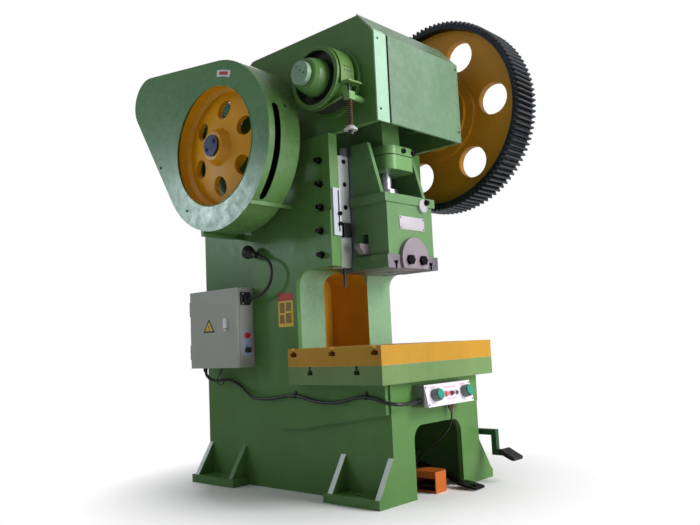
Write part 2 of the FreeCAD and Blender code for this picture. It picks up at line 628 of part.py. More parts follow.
def brake_band():
    """Steel strap round the drum: riveted tail in front, loose end below."""
    inner = value("drum_radius + band_gap")
    outer = inner + value("band_thick")
    y, z = value("spring_y"), value("block_height")
    centre = VECTOR(0, 0, value("crank_height"))

    def spot(radius, angle):
        """A point of the strap at an angle from the front, rising over the top."""
        turn = math.radians(angle)
        return centre + VECTOR(0, -radius * math.cos(turn), radius * math.sin(turn))

    low = math.degrees(math.atan2(centre.z - z, -y))
    reach = math.hypot(y, centre.z - z)
    leave = 360 - low - math.degrees(math.acos(inner / reach))
    run = VECTOR(0, y, z) - spot(inner, leave)
    end = spot(inner, leave) + run
    shift = spot(outer, leave) - spot(inner, leave)
    tail = VECTOR(0, 0, value("lug_height + lug_thick"))
    edges = [Part.LineSegment(VECTOR(0, -inner, tail.z), spot(inner, 0)).toShape(),
             Part.Arc(spot(inner, 0), spot(inner, leave / 2), spot(inner, leave)).toShape(),
             Part.LineSegment(spot(inner, leave), end).toShape(),
             Part.LineSegment(end, end + shift).toShape(),
             Part.LineSegment(end + shift, spot(outer, leave)).toShape(),
             Part.Arc(spot(outer, leave), spot(outer, leave / 2), spot(outer, 0)).toShape(),
             Part.LineSegment(spot(outer, 0), VECTOR(0, -outer, tail.z)).toShape(),
             Part.LineSegment(VECTOR(0, -outer, tail.z), VECTOR(0, -inner, tail.z)).toShape()]
    face = Part.Face(Part.Wire(edges))
    face.translate(VECTOR(-value("band_outer_x"), 0, 0))
    strap = formed("strap", face.extrude(VECTOR(value("band_outer_x - band_inner_x"), 0, 0)))
    lug = box("band_lug", "-band_outer_x", "-band_inner_x", "lug_front", "-drum_radius - 0.6",
              "lug_height", "lug_height + lug_thick")
    hole = rod("lug_hole", "z", "-spring_x", "spring_y", "lug_height - 1",
               "lug_height + lug_thick + 1", "brake_rod")
    room = box("band_room", "-band_outer_x - 1", "-band_inner_x + 1", "spring_y - 3 * block_half",
               "spring_y + block_half", "block_height - 3 * block_half",
               "block_height + 3 * block_half")
    return node("brake_band", cut("band", fuse("band_weld", strap, lug), hole, room))


def anchor_block(name):
    """Square block at the loose end of the strap."""
    return box(name, "-spring_x - block_half", "-spring_x + block_half", "spring_y - block_half",
               "spring_y + block_half", "block_height - block_half", "block_height + block_half")


def brake_anchor():
    """Fixed pin from the head with the block that the loose end hangs on."""
    pin = rod("anchor_bar", "x", "spring_y", "block_height", "-spring_x - block_half", "-head_half",
              "anchor_pin")
    block = anchor_block("anchor_block")
    hole = rod("anchor_hole_z", "z", "-spring_x", "spring_y", "block_height - 2 * block_half",
               "block_height + 2 * block_half", "brake_rod + 1")
    return node("brake_anchor", cut("anchor", fuse("anchor_weld", pin, block), hole))


def brake_rod():
    """Threaded tension rod with its head above the lug and nuts below."""
    stem = rod("tension_stem", "z", "-spring_x", "spring_y", "brake_rod_end",
               "lug_height + lug_thick + 8", "brake_rod")
    top = hexagon("tension_head", "z", "-spring_x", "spring_y", "lug_height + lug_thick",
                  "lug_height + lug_thick + 10", "2.9 * brake_rod")
    nut = hexagon("tension_nut", "z", "-spring_x", "spring_y", "spring_bottom - cup_height - 12",
                  "spring_bottom - cup_height", "3.4 * brake_rod")
    lock = hexagon("tension_lock", "z", "-spring_x", "spring_y", "spring_bottom - cup_height - 22",
                   "spring_bottom - cup_height - 12", "3.4 * brake_rod")
    return node("brake_rod", fuse("tension_rod", stem, top, nut, lock))


def biarc(start, start_way, end, end_way):
    """Two tangent arcs from one point and direction to another."""
    chord = end - start
    ways = start_way + end_way
    square = ways.dot(ways) - 4
    lean = 2 * chord.dot(ways)
    span = chord.dot(chord)
    if abs(square) < 1e-9:
        reach = span / lean
    else:
        reach = (-lean + math.sqrt(lean * lean - 4 * square * span)) / (2 * square)
        if reach < 0:
            reach = (-lean - math.sqrt(lean * lean - 4 * square * span)) / (2 * square)
    first = start + start_way * reach
    last = end - end_way * reach
    join = (first + last) * 0.5
    return [tangent_arc(start, first, join), tangent_arc(join, last, end)]


def tangent_arc(start, corner, end):
    """The arc that leaves and arrives along the two sides of a corner."""
    middle = (start + end) * 0.5
    rise = corner - middle
    half = (start - corner).Length
    side = (end - start).Length / 2
    height = rise.Length
    sag = side * height / (half + side)
    return Part.Arc(start, middle + rise * (sag / height), end).toShape()


def brake_spring():
    """Round-wire compression spring between the anchor block and the cup."""
    wire, radius = value("spring_wire"), value("spring_radius")
    low = value("spring_bottom") + wire + 0.3
    high = value("block_height - block_half") - wire - 0.3
    turns = round(value("spring_turns"))
    pitch = (high - low) / turns
    print("brake spring gap between turns", round(pitch - 2 * wire, 2))
    spots, ways = [], []
    for k in range(2 * turns + 1):
        angle = math.pi * k
        spots.append(VECTOR(radius * math.cos(angle), radius * math.sin(angle), low + pitch * k / 2))
        way = VECTOR(-radius * math.sin(angle), radius * math.cos(angle), pitch / (2 * math.pi))
        ways.append(way.normalize())
    edges = []
    for k in range(2 * turns):
        edges += biarc(spots[k], ways[k], spots[k + 1], ways[k + 1])
    path = Part.Wire(edges)
    section = Part.Wire(Part.makeCircle(wire, spots[0], ways[0]))
    coil = path.makePipeShell([section], True, False)
    coil.translate(VECTOR(-value("spring_x"), value("spring_y"), 0))
    return node("brake_spring", formed("spring", coil))


def spring_cup():
    """Pressed cup washer that the spring stands on."""
    points = [("spring_bottom - cup_height", "brake_rod + 0.5"),
              ("spring_bottom - cup_height", "cup_radius"),
              ("spring_bottom - cup_height + 6", "cup_radius"),
              ("spring_bottom - 4", "spring_radius + 9"), ("spring_bottom", "spring_radius + 7"),
              ("spring_bottom", "brake_rod + 0.5")]
    return node("spring_cup", turned("cup", "z", "-spring_x", "spring_y", points))


# ---------------------------------------------------------------- gear train
def involute(angle):
    """The involute function of a pressure angle in radians."""
    return math.tan(angle) - angle


def gear_wire(teeth, steps, phase):
    """Outline of a spur gear across X, its involute flanks drawn in a few steps."""
    module = value("gear_module")
    pressure = math.radians(value("pressure_angle"))
    pitch_radius = module * teeth / 2
    base = pitch_radius * math.cos(pressure)
    root, tip = pitch_radius - 1.25 * module, pitch_radius + module
    low = max(root, base)
    levels = [low + (tip - low) * k / steps for k in range(steps + 1)]
    if root < base:
        levels.insert(0, root)
    play = value("tooth_backlash") / 4 / pitch_radius
    middle_half = math.pi / (2 * teeth) + involute(pressure) - play
    halves = [middle_half - involute(math.acos(min(1, base / level))) for level in levels]
    spots = []
    for k in range(teeth):
        middle = phase + 2 * math.pi * k / teeth
        flank = list(zip(levels, halves))
        for side, run in ((-1, flank), (1, flank[::-1])):
            for radius, half in run:
                turn = middle + side * half
                spots.append(VECTOR(0, radius * math.cos(turn), radius * math.sin(turn)))
    return Part.makePolygon(spots + spots[:1])


def gear_blank(name, teeth, steps, phase, y, z, start, end):
    """A toothed disc from start to end along X."""
    face = Part.Face(gear_wire(teeth, steps, phase))
    face.translate(VECTOR(value(start), value(y), value(z)))
    return formed(name, face.extrude(VECTOR(value(end) - value(start), 0, 0)))


def mesh_angle():
    """Direction from the crank to the drive shaft."""
    return math.atan2(value("shaft_height - crank_height"), value("shaft_y"))


def big_gear():
    """Main gear: toothed rim, dished web with its round windows, stepped hub."""
    teeth = round(value("gear_teeth"))
    blank = gear_blank("gear_blank", teeth, 2, mesh_angle(), "0", "crank_height", "gear_inner",
                       "gear_outer")
    hollows = []
    for name, start, end in (("left", "gear_inner - 1", "gear_web_inner"),
                             ("right", "gear_web_outer", "gear_outer + 1")):
        disc = rod(f"gear_hollow_{name}_disc", "x", "0", "crank_height", start, end, "gear_rim")
        core = rod(f"gear_hollow_{name}_core", "x", "0", "crank_height", f"{start} - 1",
                   f"{end} + 1", "gear_hub_step" if name == "left" else "gear_hub")
        hollows.append(cut(f"gear_hollow_{name}", disc, core))
    windows = [rod(f"gear_window{k}", "x", y, "crank_height + " + z, "gear_inner", "gear_outer",
                   "gear_hole")
               for k, (y, z) in enumerate(ring_of("gear_holes", "gear_hole_circle",
                                                  "gear_hole_angle"))]
    step = rod("gear_step_disc", "x", "0", "crank_height", "gear_inner - 1", "gear_inner + 24",
               "gear_hub_step + 1")
    core = rod("gear_step_core", "x", "0", "crank_height", "gear_inner - 2", "gear_inner + 25",
               "gear_hub")
    bore = rod("gear_bore", "x", "0", "crank_height", "gear_inner - 1", "gear_outer + 1",
               "gear_shaft + running_gap")
    return node("big_gear", cut("gear", blank, *hollows, *windows, cut("gear_step", step, core), bore))


def clutch_collar():
    """Key clutch body beside the gear, with its two trip horns."""
    disc = rod("clutch_disc", "x", "0", "crank_height", "clutch_inner", "clutch_outer",
               "clutch_radius")
    horn = box("clutch_horn", "clutch_inner + 30", "clutch_inner + 60", "-clutch_radius - 34",
               "0", "crank_height - 20", "crank_height + 20")
    bore = rod("clutch_bore", "x", "0", "crank_height", "clutch_inner - 1", "clutch_outer + 1",
               "gear_shaft")
    return node("clutch_collar", cut("clutch", fuse("clutch_body", disc, horn), bore))


def drive_shaft():
    """Back shaft that carries the flywheel on the left and the pinion on the right."""
    left, right = "wheel_hub_face", "gear_outer"
    points = [(f"-{left}", "0"), (f"-{left}", "shaft_radius - 6"), ("-wheel_inner", "shaft_radius - 6"),
              ("-wheel_inner", "shaft_radius"), (f"{right} - 2", "shaft_radius"),
              (right, "shaft_radius - 2"), (right, "0")]
    return node("drive_shaft", turned("back_shaft", "x", "shaft_y", "shaft_height", points))


def pinion():
    """Pinion in mesh with the main gear."""
    teeth = round(value("pinion_teeth"))
    phase = mesh_angle() + math.pi + math.pi / teeth
    blank = gear_blank("pinion_blank", teeth, 4, phase, "shaft_y", "shaft_height", "gear_inner - 4",
                       "gear_outer - 6")
    bore = rod("pinion_bore", "x", "shaft_y", "shaft_height", "gear_inner - 5", "gear_outer",
               "shaft_radius")
    return node("pinion", cut("pinion_cut", blank, bore))


def groove_cuts(name, y, z, radius):
    """Vee grooves for the belts, cut round a wheel or pulley."""
    rings = []
    for k in range(round(value("groove_count"))):
        middle = f"-(groove_start + {k} * groove_pitch)"
        points = [(f"{middle} - groove_floor / 2", f"{radius} - groove_depth"),
                  (f"{middle} + groove_floor / 2", f"{radius} - groove_depth"),
                  (f"{middle} + groove_top / 2", f"{radius} + 1"),
                  (f"{middle} - groove_top / 2", f"{radius} + 1")]
        rings.append(turned(f"{name}_groove{k}", "x", y, z, points))
    return rings


def flywheel():
    """Flywheel: grooved rim, dished web with six round windows, tapered hub."""
    bore = "shaft_radius - 6"
    points = [("-wheel_hub_face", bore), ("-wheel_hub_face", "wheel_hub - 5"),
              ("-wheel_hub_face + 5", "wheel_hub"), ("-wheel_web - wheel_dish", "wheel_hub_root"),
              ("-wheel_web + wheel_dish", "wheel_rim - 34"), ("-wheel_web + 2", "wheel_rim - 12"),
              ("-wheel_outer", "wheel_rim"), ("-wheel_outer", "wheel_radius"),
              ("-wheel_inner", "wheel_radius"), ("-wheel_inner", "wheel_rim"),
              ("-wheel_web + wheel_dish + wheel_web_thick", "wheel_rim - 20"),
              ("-wheel_web - wheel_dish + wheel_web_thick", "wheel_hub_root + 10"),
              ("-wheel_inner", "wheel_hub_root"), ("-wheel_inner", bore)]
    wheel = turned("wheel_body", "x", "shaft_y", "shaft_height", points)
    holes = [rod(f"wheel_hole{k}", "x", "shaft_y + " + y, "shaft_height + " + z,
                 "-wheel_outer - 20", "-wheel_inner", "wheel_hole")
             for k, (y, z) in enumerate(ring_of("wheel_holes", "wheel_hole_circle",
                                                "wheel_hole_angle"))]
    grooves = groove_cuts("wheel", "shaft_y", "shaft_height", "wheel_radius")
    return node("flywheel", cut("wheel", wheel, *holes, *grooves))


def shaft_nut():
    """Round end cap with a cross key that holds the flywheel on its taper."""
    disc = rod("cap_disc", "x", "shaft_y", "shaft_height", "-wheel_hub_face - nut_thick",
               "-wheel_hub_face", "nut_radius")
    key = box("cap_key", "-shaft_left", "-wheel_hub_face - nut_thick + 2", "shaft_y - 14",
              "shaft_y + 14", "shaft_height - 30", "shaft_height + 30")
    return node("shaft_nut", fuse("cap", disc, key))


# ---------------------------------------------------------------- motor and belts
def motor():
    """Foot-mounted squirrel-cage motor with a finned shell and a fan cowl."""
    left = "-motor_left"
    points = [(left, "motor_rotor + 0.3"), (left, "motor_radius - 34"),
              (f"{left} + 14", "motor_radius - 14"), (f"{left} + 40", "motor_radius - 14"),
              (f"{left} + 40", "motor_radius - 6"), (f"{left} + motor_length - 90", "motor_radius - 6"),
              (f"{left} + motor_length - 90", "motor_radius"),
              (f"{left} + motor_length - 16", "motor_radius"),
              (f"{left} + motor_length", "motor_radius - 20"), (f"{left} + motor_length", "0"),
              (f"{left} + 60", "0"), (f"{left} + 60", "motor_rotor + 0.3")]
    shell = turned("motor_shell", "x", "motor_y", "motor_height", points)
    feet = box("motor_feet", f"{left} + 70", f"{left} + 260", "motor_y - motor_foot",
               "motor_y + motor_foot", "motor_plate", "motor_plate + 16")
    saddle = box("motor_saddle", f"{left} + 80", f"{left} + 250", "motor_y - 70", "motor_y + 70",
                 "motor_plate + 10", "motor_height - motor_radius / 2")
    cleared = cut("motor_saddle_open", fuse("motor_stand", feet, saddle),
                  rod("motor_saddle_bore", "x", "motor_y", "motor_height", f"{left} + 10",
                      f"{left} + 300", "motor_radius - 20"))
    terminal = box("terminal_box", f"{left} + 110", f"{left} + 210", "motor_y - 45", "motor_y + 45",
                   "motor_height + motor_radius - 16", "motor_height + motor_radius + 30")
    return node("motor", fuse("motor_body", shell, cleared, terminal))


def motor_bracket():
    """Shelf plate behind the head, on a ribbed back plate."""
    left, right = "-motor_left + 20", "-motor_left + 290"
    plate = box("shelf_plate", left, right, "base_rear - 90", "motor_y + motor_foot + 25",
                "motor_plate - motor_plate_thick", "motor_plate")
    back = box("shelf_back", left, right, "base_rear", "base_rear + 20",
               "motor_plate - 330", "motor_plate - motor_plate_thick")
    ribs = []
    for k, x in enumerate((left, f"{right} - 16")):
        points = [("base_rear + 20", "motor_plate - 320"),
                  ("motor_y + motor_foot", "motor_plate - motor_plate_thick"),
                  ("base_rear + 20", "motor_plate - motor_plate_thick")]
        ribs.append(profile(f"shelf_rib{k}", "x", x, f"({x}) + 16", points))
    block = box("shelf_foot", left, right, "base_rear - 90", "base_rear - 40", "shelf_height",
                "motor_plate - motor_plate_thick")
    return node("motor_bracket", fuse("shelf", plate, back, *ribs, block))


def motor_pulley():
    """Grooved pulley with the rotor's shaft end that it sits on."""
    last = "groove_start + (groove_count - 1) * groove_pitch + 20"
    points = [(f"-({last})", "0"), (f"-({last})", "pulley_radius"),
              ("-groove_start + 20", "pulley_radius"), ("-groove_start + 20", "motor_rotor"),
              ("-motor_left + 50", "motor_rotor"), ("-motor_left + 50", "0")]
    wheel = turned("pulley_body", "x", "motor_y", "motor_height", points)
    return node("motor_pulley", cut("pulley", wheel, *groove_cuts("pulley", "motor_y",
                                                                  "motor_height", "pulley_radius")))


def loop_wire(x, big, small):
    """Closed loop round two circles at the drive shaft and the motor."""
    one = VECTOR(x, value("shaft_y"), value("shaft_height"))
    two = VECTOR(x, value("motor_y"), value("motor_height"))
    line = two - one
    heading = math.atan2(line.z, line.y)
    spread = math.acos((big - small) / line.Length)

    def spot(centre, radius, angle):
        """A point of one of the circles."""
        return centre + VECTOR(0, radius * math.cos(angle), radius * math.sin(angle))

    up, down = heading + spread, heading - spread
    edges = [Part.Arc(spot(one, big, up), spot(one, big, heading + math.pi),
                      spot(one, big, down)).toShape(),
             Part.LineSegment(spot(one, big, down), spot(two, small, down)).toShape(),
             Part.Arc(spot(two, small, down), spot(two, small, heading),
                      spot(two, small, up)).toShape(),
             Part.LineSegment(spot(two, small, up), spot(one, big, up)).toShape()]
    return Part.Wire(edges)


def loop_solid(x0, x1, big, small):
    """The region inside a loop, from x0 to x1."""
    return Part.Face(loop_wire(x0, big, small)).extrude(VECTOR(x1 - x0, 0, 0))


def drive_belts():
    """Vee belts, drawn just clear of the groove floors and flanks."""
    belts = []
    rise, thick = value("belt_rise"), value("belt_thick")
    wheel = value("wheel_radius - groove_depth") + rise
    pulley = value("pulley_radius - groove_depth") + rise
    for k in range(round(value("groove_count"))):
        middle = -value("groove_start") - k * value("groove_pitch")
        half = value("groove_floor") / 2
        outer = loop_solid(middle - half, middle + half, wheel + thick, pulley + thick)
        inner = loop_solid(middle - half, middle + half, wheel, pulley)
        belts.append(formed(f"belt{k}", outer.cut(inner)))
    return node("drive_belts", group("belts", *belts))


def belt_guard():
    """Sheet guard round the flywheel and belts, with its round sight opening."""
    sheet = value("guard_sheet")
    big, small = value("guard_big"), value("guard_small")
    left, right = -value("guard_outer"), -value("guard_inner")
    skin = loop_solid(left, right, big, small)
    room = loop_solid(left + sheet, right + 1, big - sheet, small - sheet)
    shell = formed("guard_shell", skin.cut(room))
    sight = rod("guard_sight", "x", "shaft_y", "shaft_height", "-guard_outer - 1",
                "-guard_outer + guard_sheet + 1", "guard_opening")
    middle = "-guard_outer + guard_slot_x"
    front, back = "shaft_y - guard_big - 5", "shaft_y - guard_big * 0.6"
    low = "shaft_height - guard_slot_drop + guard_slot_half"
    high = "shaft_height + guard_slot_rise - guard_slot_half"
    slot = box("guard_slot", f"{middle} - guard_slot_half", f"{middle} + guard_slot_half", front,
               back, low, high)
    ends = [rod(f"guard_slot_end{k}", "y", middle, z, front, back, "guard_slot_half")
            for k, z in enumerate((low, high))]
    return node("belt_guard", cut("guard", shell, sight, slot, *ends))


def guard_struts():
    """Flat bars that hold the guard off the side of the frame."""
    drop = "(shaft_height - strut_height)"
    front_y = f"shaft_y - sqrt(guard_big * guard_big - {drop} * {drop})"
    front = box("strut_front", "-guard_outer", "-side_outer - doubler_thick",
                f"{front_y} - strut_thick", front_y, "strut_height - strut_tall / 2",
                "strut_height + strut_tall / 2")
    low = box("strut_low", "-guard_outer + 40", "-side_outer", "shaft_y + 160", "shaft_y + 187",
              "shaft_height - guard_big - strut_thick", "shaft_height - guard_big + 30")
    skin = loop_solid(-value("guard_outer") - 1, 0, value("guard_big"), value("guard_small"))
    room = formed("strut_room", skin)
    return node("guard_struts", group("struts", cut("strut_front_cut", front, room),
                                      cut("strut_low_cut", low, room)))


# ---------------------------------------------------------------- ram and guides
def shank_hole(name):
    """Bore for the shank of the upper die."""
    return rod(name, "z", "0", "0", "sole_bottom - 1", "sole_bottom + shank_depth", "shank_bore")


def clamp_pocket(name):
    """Half-round pocket in the ram's front that the shank clamp fits."""
    disc = rod(name + "_round", "y", "0", "clamp_centre", "ram_flange_front - 1", "clamp_back",
               "clamp_radius + clamp_gap")
    floor = box(name + "_floor", "-300", "300", "-400", "100", "1000", "sole_bottom - 1")
    return cut(name, disc, floor)


def ram():
    """Cast ram body with its upper wings, vee guides, cross slot and ball socket."""
    body = box("ram_body", "-ram_half", "ram_half", "ram_front", "ram_back", "ram_bottom", "ram_top")
    flange = box("ram_flange_plate", "-ram_flange", "ram_flange", "ram_flange_front", "gib_front - 20",
                 "ram_flange_bottom", "ram_top")
    wing_points = [("wing_foot_front", "ram_top"), ("ram_back", "ram_top"), ("ram_back", "wing_top"),
                   ("wing_top_front", "wing_top")]
    wings = [profile("wing_left", "x", "-ram_half", "-ram_half + wing_thick", wing_points),
             profile("wing_right", "x", "ram_half - wing_thick", "ram_half", wing_points)]
    middle = "(gib_front + gib_back) / 2"
    reach = "gib_inner + vee_depth - 1.4142 * guide_gap"
    vees = []
    for side, sign in (("left", "-"), ("right", "")):
        points = [(f"{sign}(ram_half - 1)", f"{middle} - ({reach} - ram_half + 1)"),
                  (f"{sign}({reach})", middle),
                  (f"{sign}(ram_half - 1)", f"{middle} + ({reach} - ram_half + 1)")]
        vees.append(profile(f"vee_{side}", "z", "ram_bottom", "wing_top", points))
    way = box("knockout_way", "-ram_half - 1", "ram_half + 1", "knockout_front", "knockout_back",
              "knockout_bottom", "knockout_bottom + knockout_slot")
    socket = rod("ball_socket", "z", "0", "0", "ball_height - ball_radius - 4", "ram_top + 1",
                 "ball_radius + ball_gap")
    solid = fuse("ram_solid", body, flange, *wings, *vees)
    return node("ram", cut("ram_cut", solid, shank_hole("ram_shank_hole"), way, socket,
                           clamp_pocket("ram_pocket")))


def ram_sole():
    """Steel sole under the ram, with its two tee slots."""
    plate = box("sole_plate", "-ram_half", "ram_half", "ram_flange_front", "ram_back", "sole_bottom",
                "ram_bottom")
    lips = box("sole_lips", "-sole_half", "sole_half", "ram_flange_front", "gib_front - 20",
               "sole_bottom", "ram_bottom")
    slots = []
    for k, side in enumerate(("-", "")):
        slots.append(box(f"sole_neck{k}", f"{side}sole_slot - sole_neck / 2",
                         f"{side}sole_slot + sole_neck / 2", "ram_flange_front - 1", "ram_back + 1",
                         "sole_bottom - 1", "sole_bottom + sole_neck_deep"))
        slots.append(box(f"sole_head{k}", f"{side}sole_slot - sole_head / 2",
                         f"{side}sole_slot + sole_head / 2", "ram_flange_front - 1", "ram_back + 1",
                         "sole_bottom + sole_neck_deep - 1", "sole_bottom + sole_head_deep"))
    return node("ram_sole", cut("sole_cut", fuse("sole_solid", plate, lips), *slots,
                                shank_hole("sole_shank_hole"), clamp_pocket("sole_pocket")))


def shank_clamp():
    """Half-round steel block that clamps the die shank, bolted to the front."""
    disc = rod("clamp_disc", "y", "0", "clamp_centre", "clamp_front", "clamp_back", "clamp_radius")
    low = box("clamp_trim", "-clamp_radius - 1", "clamp_radius + 1", "clamp_front - 1",
              "clamp_back + 1", "clamp_centre - clamp_radius - 1", "sole_bottom + 2")
    holes = [rod(f"clamp_way{k}", "y", f"{side}clamp_bolt_x", "clamp_bolt_z", "clamp_front - 1",
                 "clamp_back + 1", "clamp_bolt")
             for k, side in enumerate(("-", ""))]
    return node("shank_clamp", cut("clamp", disc, low, *holes))


def clamp_bolts():
    """Hexagon bolts of the shank clamp."""
    bolts = []
    for k, side in enumerate(("-", "")):
        x = f"{side}clamp_bolt_x"
        stem = rod(f"clamp_stem{k}", "y", x, "clamp_bolt_z", "clamp_front - 4", "clamp_back",
                   "clamp_bolt")
        head = hexagon(f"clamp_head{k}", "y", x, "clamp_bolt_z", "clamp_front - 20", "clamp_front",
                       "clamp_across")
        bolts.append(fuse(f"clamp_bolt_piece{k}", stem, head))
    return node("clamp_bolts", group("clamp_bolt_pair", *bolts))


def knockout_bar():
    """Cross bar through the ram that knocks the work out of the upper die."""
    low, high = "knockout_bottom + knockout_gap", "knockout_bottom + knockout_gap + knockout_bar"
    points = [("-knockout_half + knockout_bevel", low), ("knockout_half - knockout_bevel", low),
              ("knockout_half", f"{high} - knockout_nose"), ("knockout_half", high),
              ("-knockout_half", high), ("-knockout_half", f"{high} - knockout_nose")]
    return node("knockout_bar", profile("knock_bar", "y", "knockout_front + knockout_gap",
                                        "knockout_back - knockout_gap", points))


def gib(side):
    """Vee gib of one side, with the holes of its screws."""
    sign = "-" if side == "left" else ""
    middle = "(gib_front + gib_back) / 2"
    points = [(f"{sign}gib_outer", "gib_front"), (f"{sign}gib_inner", "gib_front"),
              (f"{sign}gib_inner", f"{middle} - vee_depth"),
              (f"{sign}(gib_inner + vee_depth)", middle),
              (f"{sign}gib_inner", f"{middle} + vee_depth"), (f"{sign}gib_inner", "gib_back"),
              (f"{sign}gib_outer", "gib_back")]
    bar = profile(f"gib_{side}_bar", "z", "jaw_height", "gib_top", points)
    holes = []
    for k in range(3):
        height = f"gib_screw_low + {k} * (gib_screw_high - gib_screw_low) / 2"
        holes.append(rod(f"gib_{side}_screw{k}", "y", f"{sign}gib_screw_x", height, "gib_front - 1",
                         "gib_front + 14", "gib_screw"))
    return cut(f"gib_{side}", bar, *holes)


def gibs():
    """The two gibs that guide the ram's vees."""
    return node("gibs", group("gib_pair", gib("left"), gib("right")))


def adjusting_bolts():
    """Side bolts with lock nuts that press the gibs up to the ram."""
    face = "side_outer + doubler_thick + pad_thick"
    bolts = []
    for k in range(round(value("bolt_count"))):
        height = f"bolt_low + {k} * bolt_pitch"
        seat = face if value(height) < value("pad_top") else "side_outer + doubler_thick"
        stem = rod(f"side_stem{k}", "x", "bolt_y", height, "gib_outer", f"{seat} + 26", "bolt_radius")
        nut = hexagon(f"side_nut{k}", "x", "bolt_y", height, seat, f"{seat} + 13", "bolt_across")
        head = hexagon(f"side_head{k}", "x", "bolt_y", height, f"{seat} + 20",
                       f"{seat} + 20 + bolt_head", "bolt_across * 0.72")
        bolts.append(fuse(f"side_bolt{k}", stem, nut, head))
    twins = [mirrored(f"side_bolt_twin{k}", bolt) for k, bolt in enumerate(bolts)]
    return node("adjusting_bolts", group("side_bolts", *bolts, *twins))


def scale_plate():
    """Slotted bright plate on the left front edge of the neck."""
    plate = box("scale_blank", "-scale_outer", "-scale_inner", "neck_front - scale_thick",
                "neck_front", "scale_low", "scale_high")
    slot = box("scale_slot_cut", "-(scale_outer + scale_inner) / 2 - scale_slot / 2 + 12",
               "-(scale_outer + scale_inner) / 2 + scale_slot / 2 + 12", "neck_front - scale_thick - 1",
               "neck_front + 1", "scale_low + 22", "scale_high - 14")
    return node("scale_plate", cut("scale", plate, slot))


def stop_block():
    """Knock-out stop bracket on the front of the left gib."""
    return node("stop_block", box("stop", "-stop_outer", "-stop_inner", "gib_front - stop_thick",
                                  "gib_front", "stop_low", "stop_high"))


def ejector_rod():
    """Round rod that hangs from the foot of the left gib."""
    return node("ejector_rod", rod("ejector", "z", "-ejector_x", "ejector_y", "ejector_low",
                                   "jaw_height", "ejector_radius"))


def connecting_rod():
    """Rod: open big end on the crank pin, shank, and the split clamping block."""
    pin_height = "crank_height + crank_throw"
    ring = rod("rod_ring_disc", "x", "0", pin_height, "-rod_half", "rod_half",
               "rod_mouth + rod_ring")
    shank = profile("rod_shank", "x", "-rod_shank_half", "rod_shank_half",
                    [("-70", "block_top - 1"), ("80", "block_top - 1"),
                     ("64", f"{pin_height} - rod_mouth - 10"), ("-64", f"{pin_height} - rod_mouth - 10")])
    foot = profile("rod_block", "z", "block_bottom", "block_top",
                   [("-block_half_x", "block_front"), ("block_half_x", "block_front"),
                    ("block_half_x", "block_back"), ("-block_half_x", "block_back")],
                   [([("-block_half_x", "block_front"), ("block_half_x", "block_front"),
                      ("block_half_x", "block_back"), ("-block_half_x", "block_back")],
                     "block_round")])
    mouth = rod("rod_mouth_hole", "x", "0", pin_height, "-rod_half - 1", "rod_half + 1", "rod_mouth")
    rear = box("rod_mouth_rear", "-rod_half - 1", "rod_half + 1", "0", "rod_mouth + rod_ring + 1",
               f"{pin_height} - rod_mouth", f"{pin_height} + rod_mouth")
    split = box("rod_split", "-block_half_x - 1", "block_half_x + 1", "block_front - 1", "0",
                "block_split_height", "block_split_height + block_split")
    bore = rod("rod_thread", "z", "0", "0", "block_bottom - 1", "block_top - 12",
               "screw_radius + running_gap")
    return node("connecting_rod", cut("rod_cut", fuse("rod_solid", ring, shank, foot), mouth, rear,
                                      split, bore))


def adjusting_screw():
    """Shut-height screw with the ball that turns in the ram."""
    top = "ram_top + seat_ring_height - 4"
    points = [("ball_height - ball_radius", "0"), ("ball_height - ball_radius", "22"),
              ("ball_height - 40", "46"), ("ball_height - 14", "ball_radius - 2"),
              ("ball_height + 14", "ball_radius - 2"), ("ball_height + 40", "46"),
              ("ball_height + 48", "screw_radius - 6"), (top, "screw_radius - 6"),
              (f"{top} + 4", "screw_radius"), ("block_top - 14", "screw_radius"),
              ("block_top - 14", "0")]
    return node("adjusting_screw", turned("screw", "z", "0", "0", points))


def ball_seat_ring():
    """Threaded ring that keeps the ball in its socket."""
    points = [("ram_top", "screw_radius + 1"), ("ram_top", "seat_ring + 16"),
              ("ram_top + 18", "seat_ring + 16"), ("ram_top + 18", "seat_ring"),
              ("ram_top + seat_ring_height", "seat_ring"),
              ("ram_top + seat_ring_height", "screw_radius + 1")]
    return node("ball_seat_ring", turned("seat_ring_body", "z", "0", "0", points))


# ---------------------------------------------------------------- cabinet and lamp
def hinge_part(name, low, high, x0, x1, y0, y1):
    """A length of hinge barrel with the tab that joins it to its sheet."""
    barrel = rod(f"{name}_barrel", "z", "-hinge_x", "hinge_y", low, high, "hinge_radius")
    tab = box(f"{name}_tab", x0, x1, y0, y1, low, high)
    return fuse(name, barrel, tab)


def cabinet():
    """Open-fronted electrical box on the left side, with the fixed half of its hinges."""
    case = box("cabinet_case", "-cabinet_outer + door_thick + door_gap", "-side_outer",
               "cabinet_front", "cabinet_rear", "cabinet_low", "cabinet_high")
    room = box("cabinet_room", "-cabinet_outer", "-side_outer - cabinet_sheet",
               "cabinet_front + cabinet_sheet", "cabinet_rear - cabinet_sheet",
               "cabinet_low + cabinet_sheet", "cabinet_high - cabinet_sheet")
    pieces = [cut("cabinet_shell", case, room)]
    for k, z in enumerate(("hinge_low", "hinge_high")):
        for name, start in (("under", f"{z} - hinge_long"), ("over", f"{z} + hinge_long")):
            pieces.append(hinge_part(f"hinge_{name}{k}", start, f"{start} + hinge_long",
                                     "-hinge_x + 4", "-cabinet_outer + 50", "cabinet_rear",
                                     "cabinet_rear + hinge_tab"))
        pieces.append(rod(f"hinge_pin{k}", "z", "-hinge_x", "hinge_y", f"{z} - 1",
                          f"{z} + hinge_long + 1", "hinge_pin"))
    return node("cabinet", fuse("cabinet_body", *pieces))


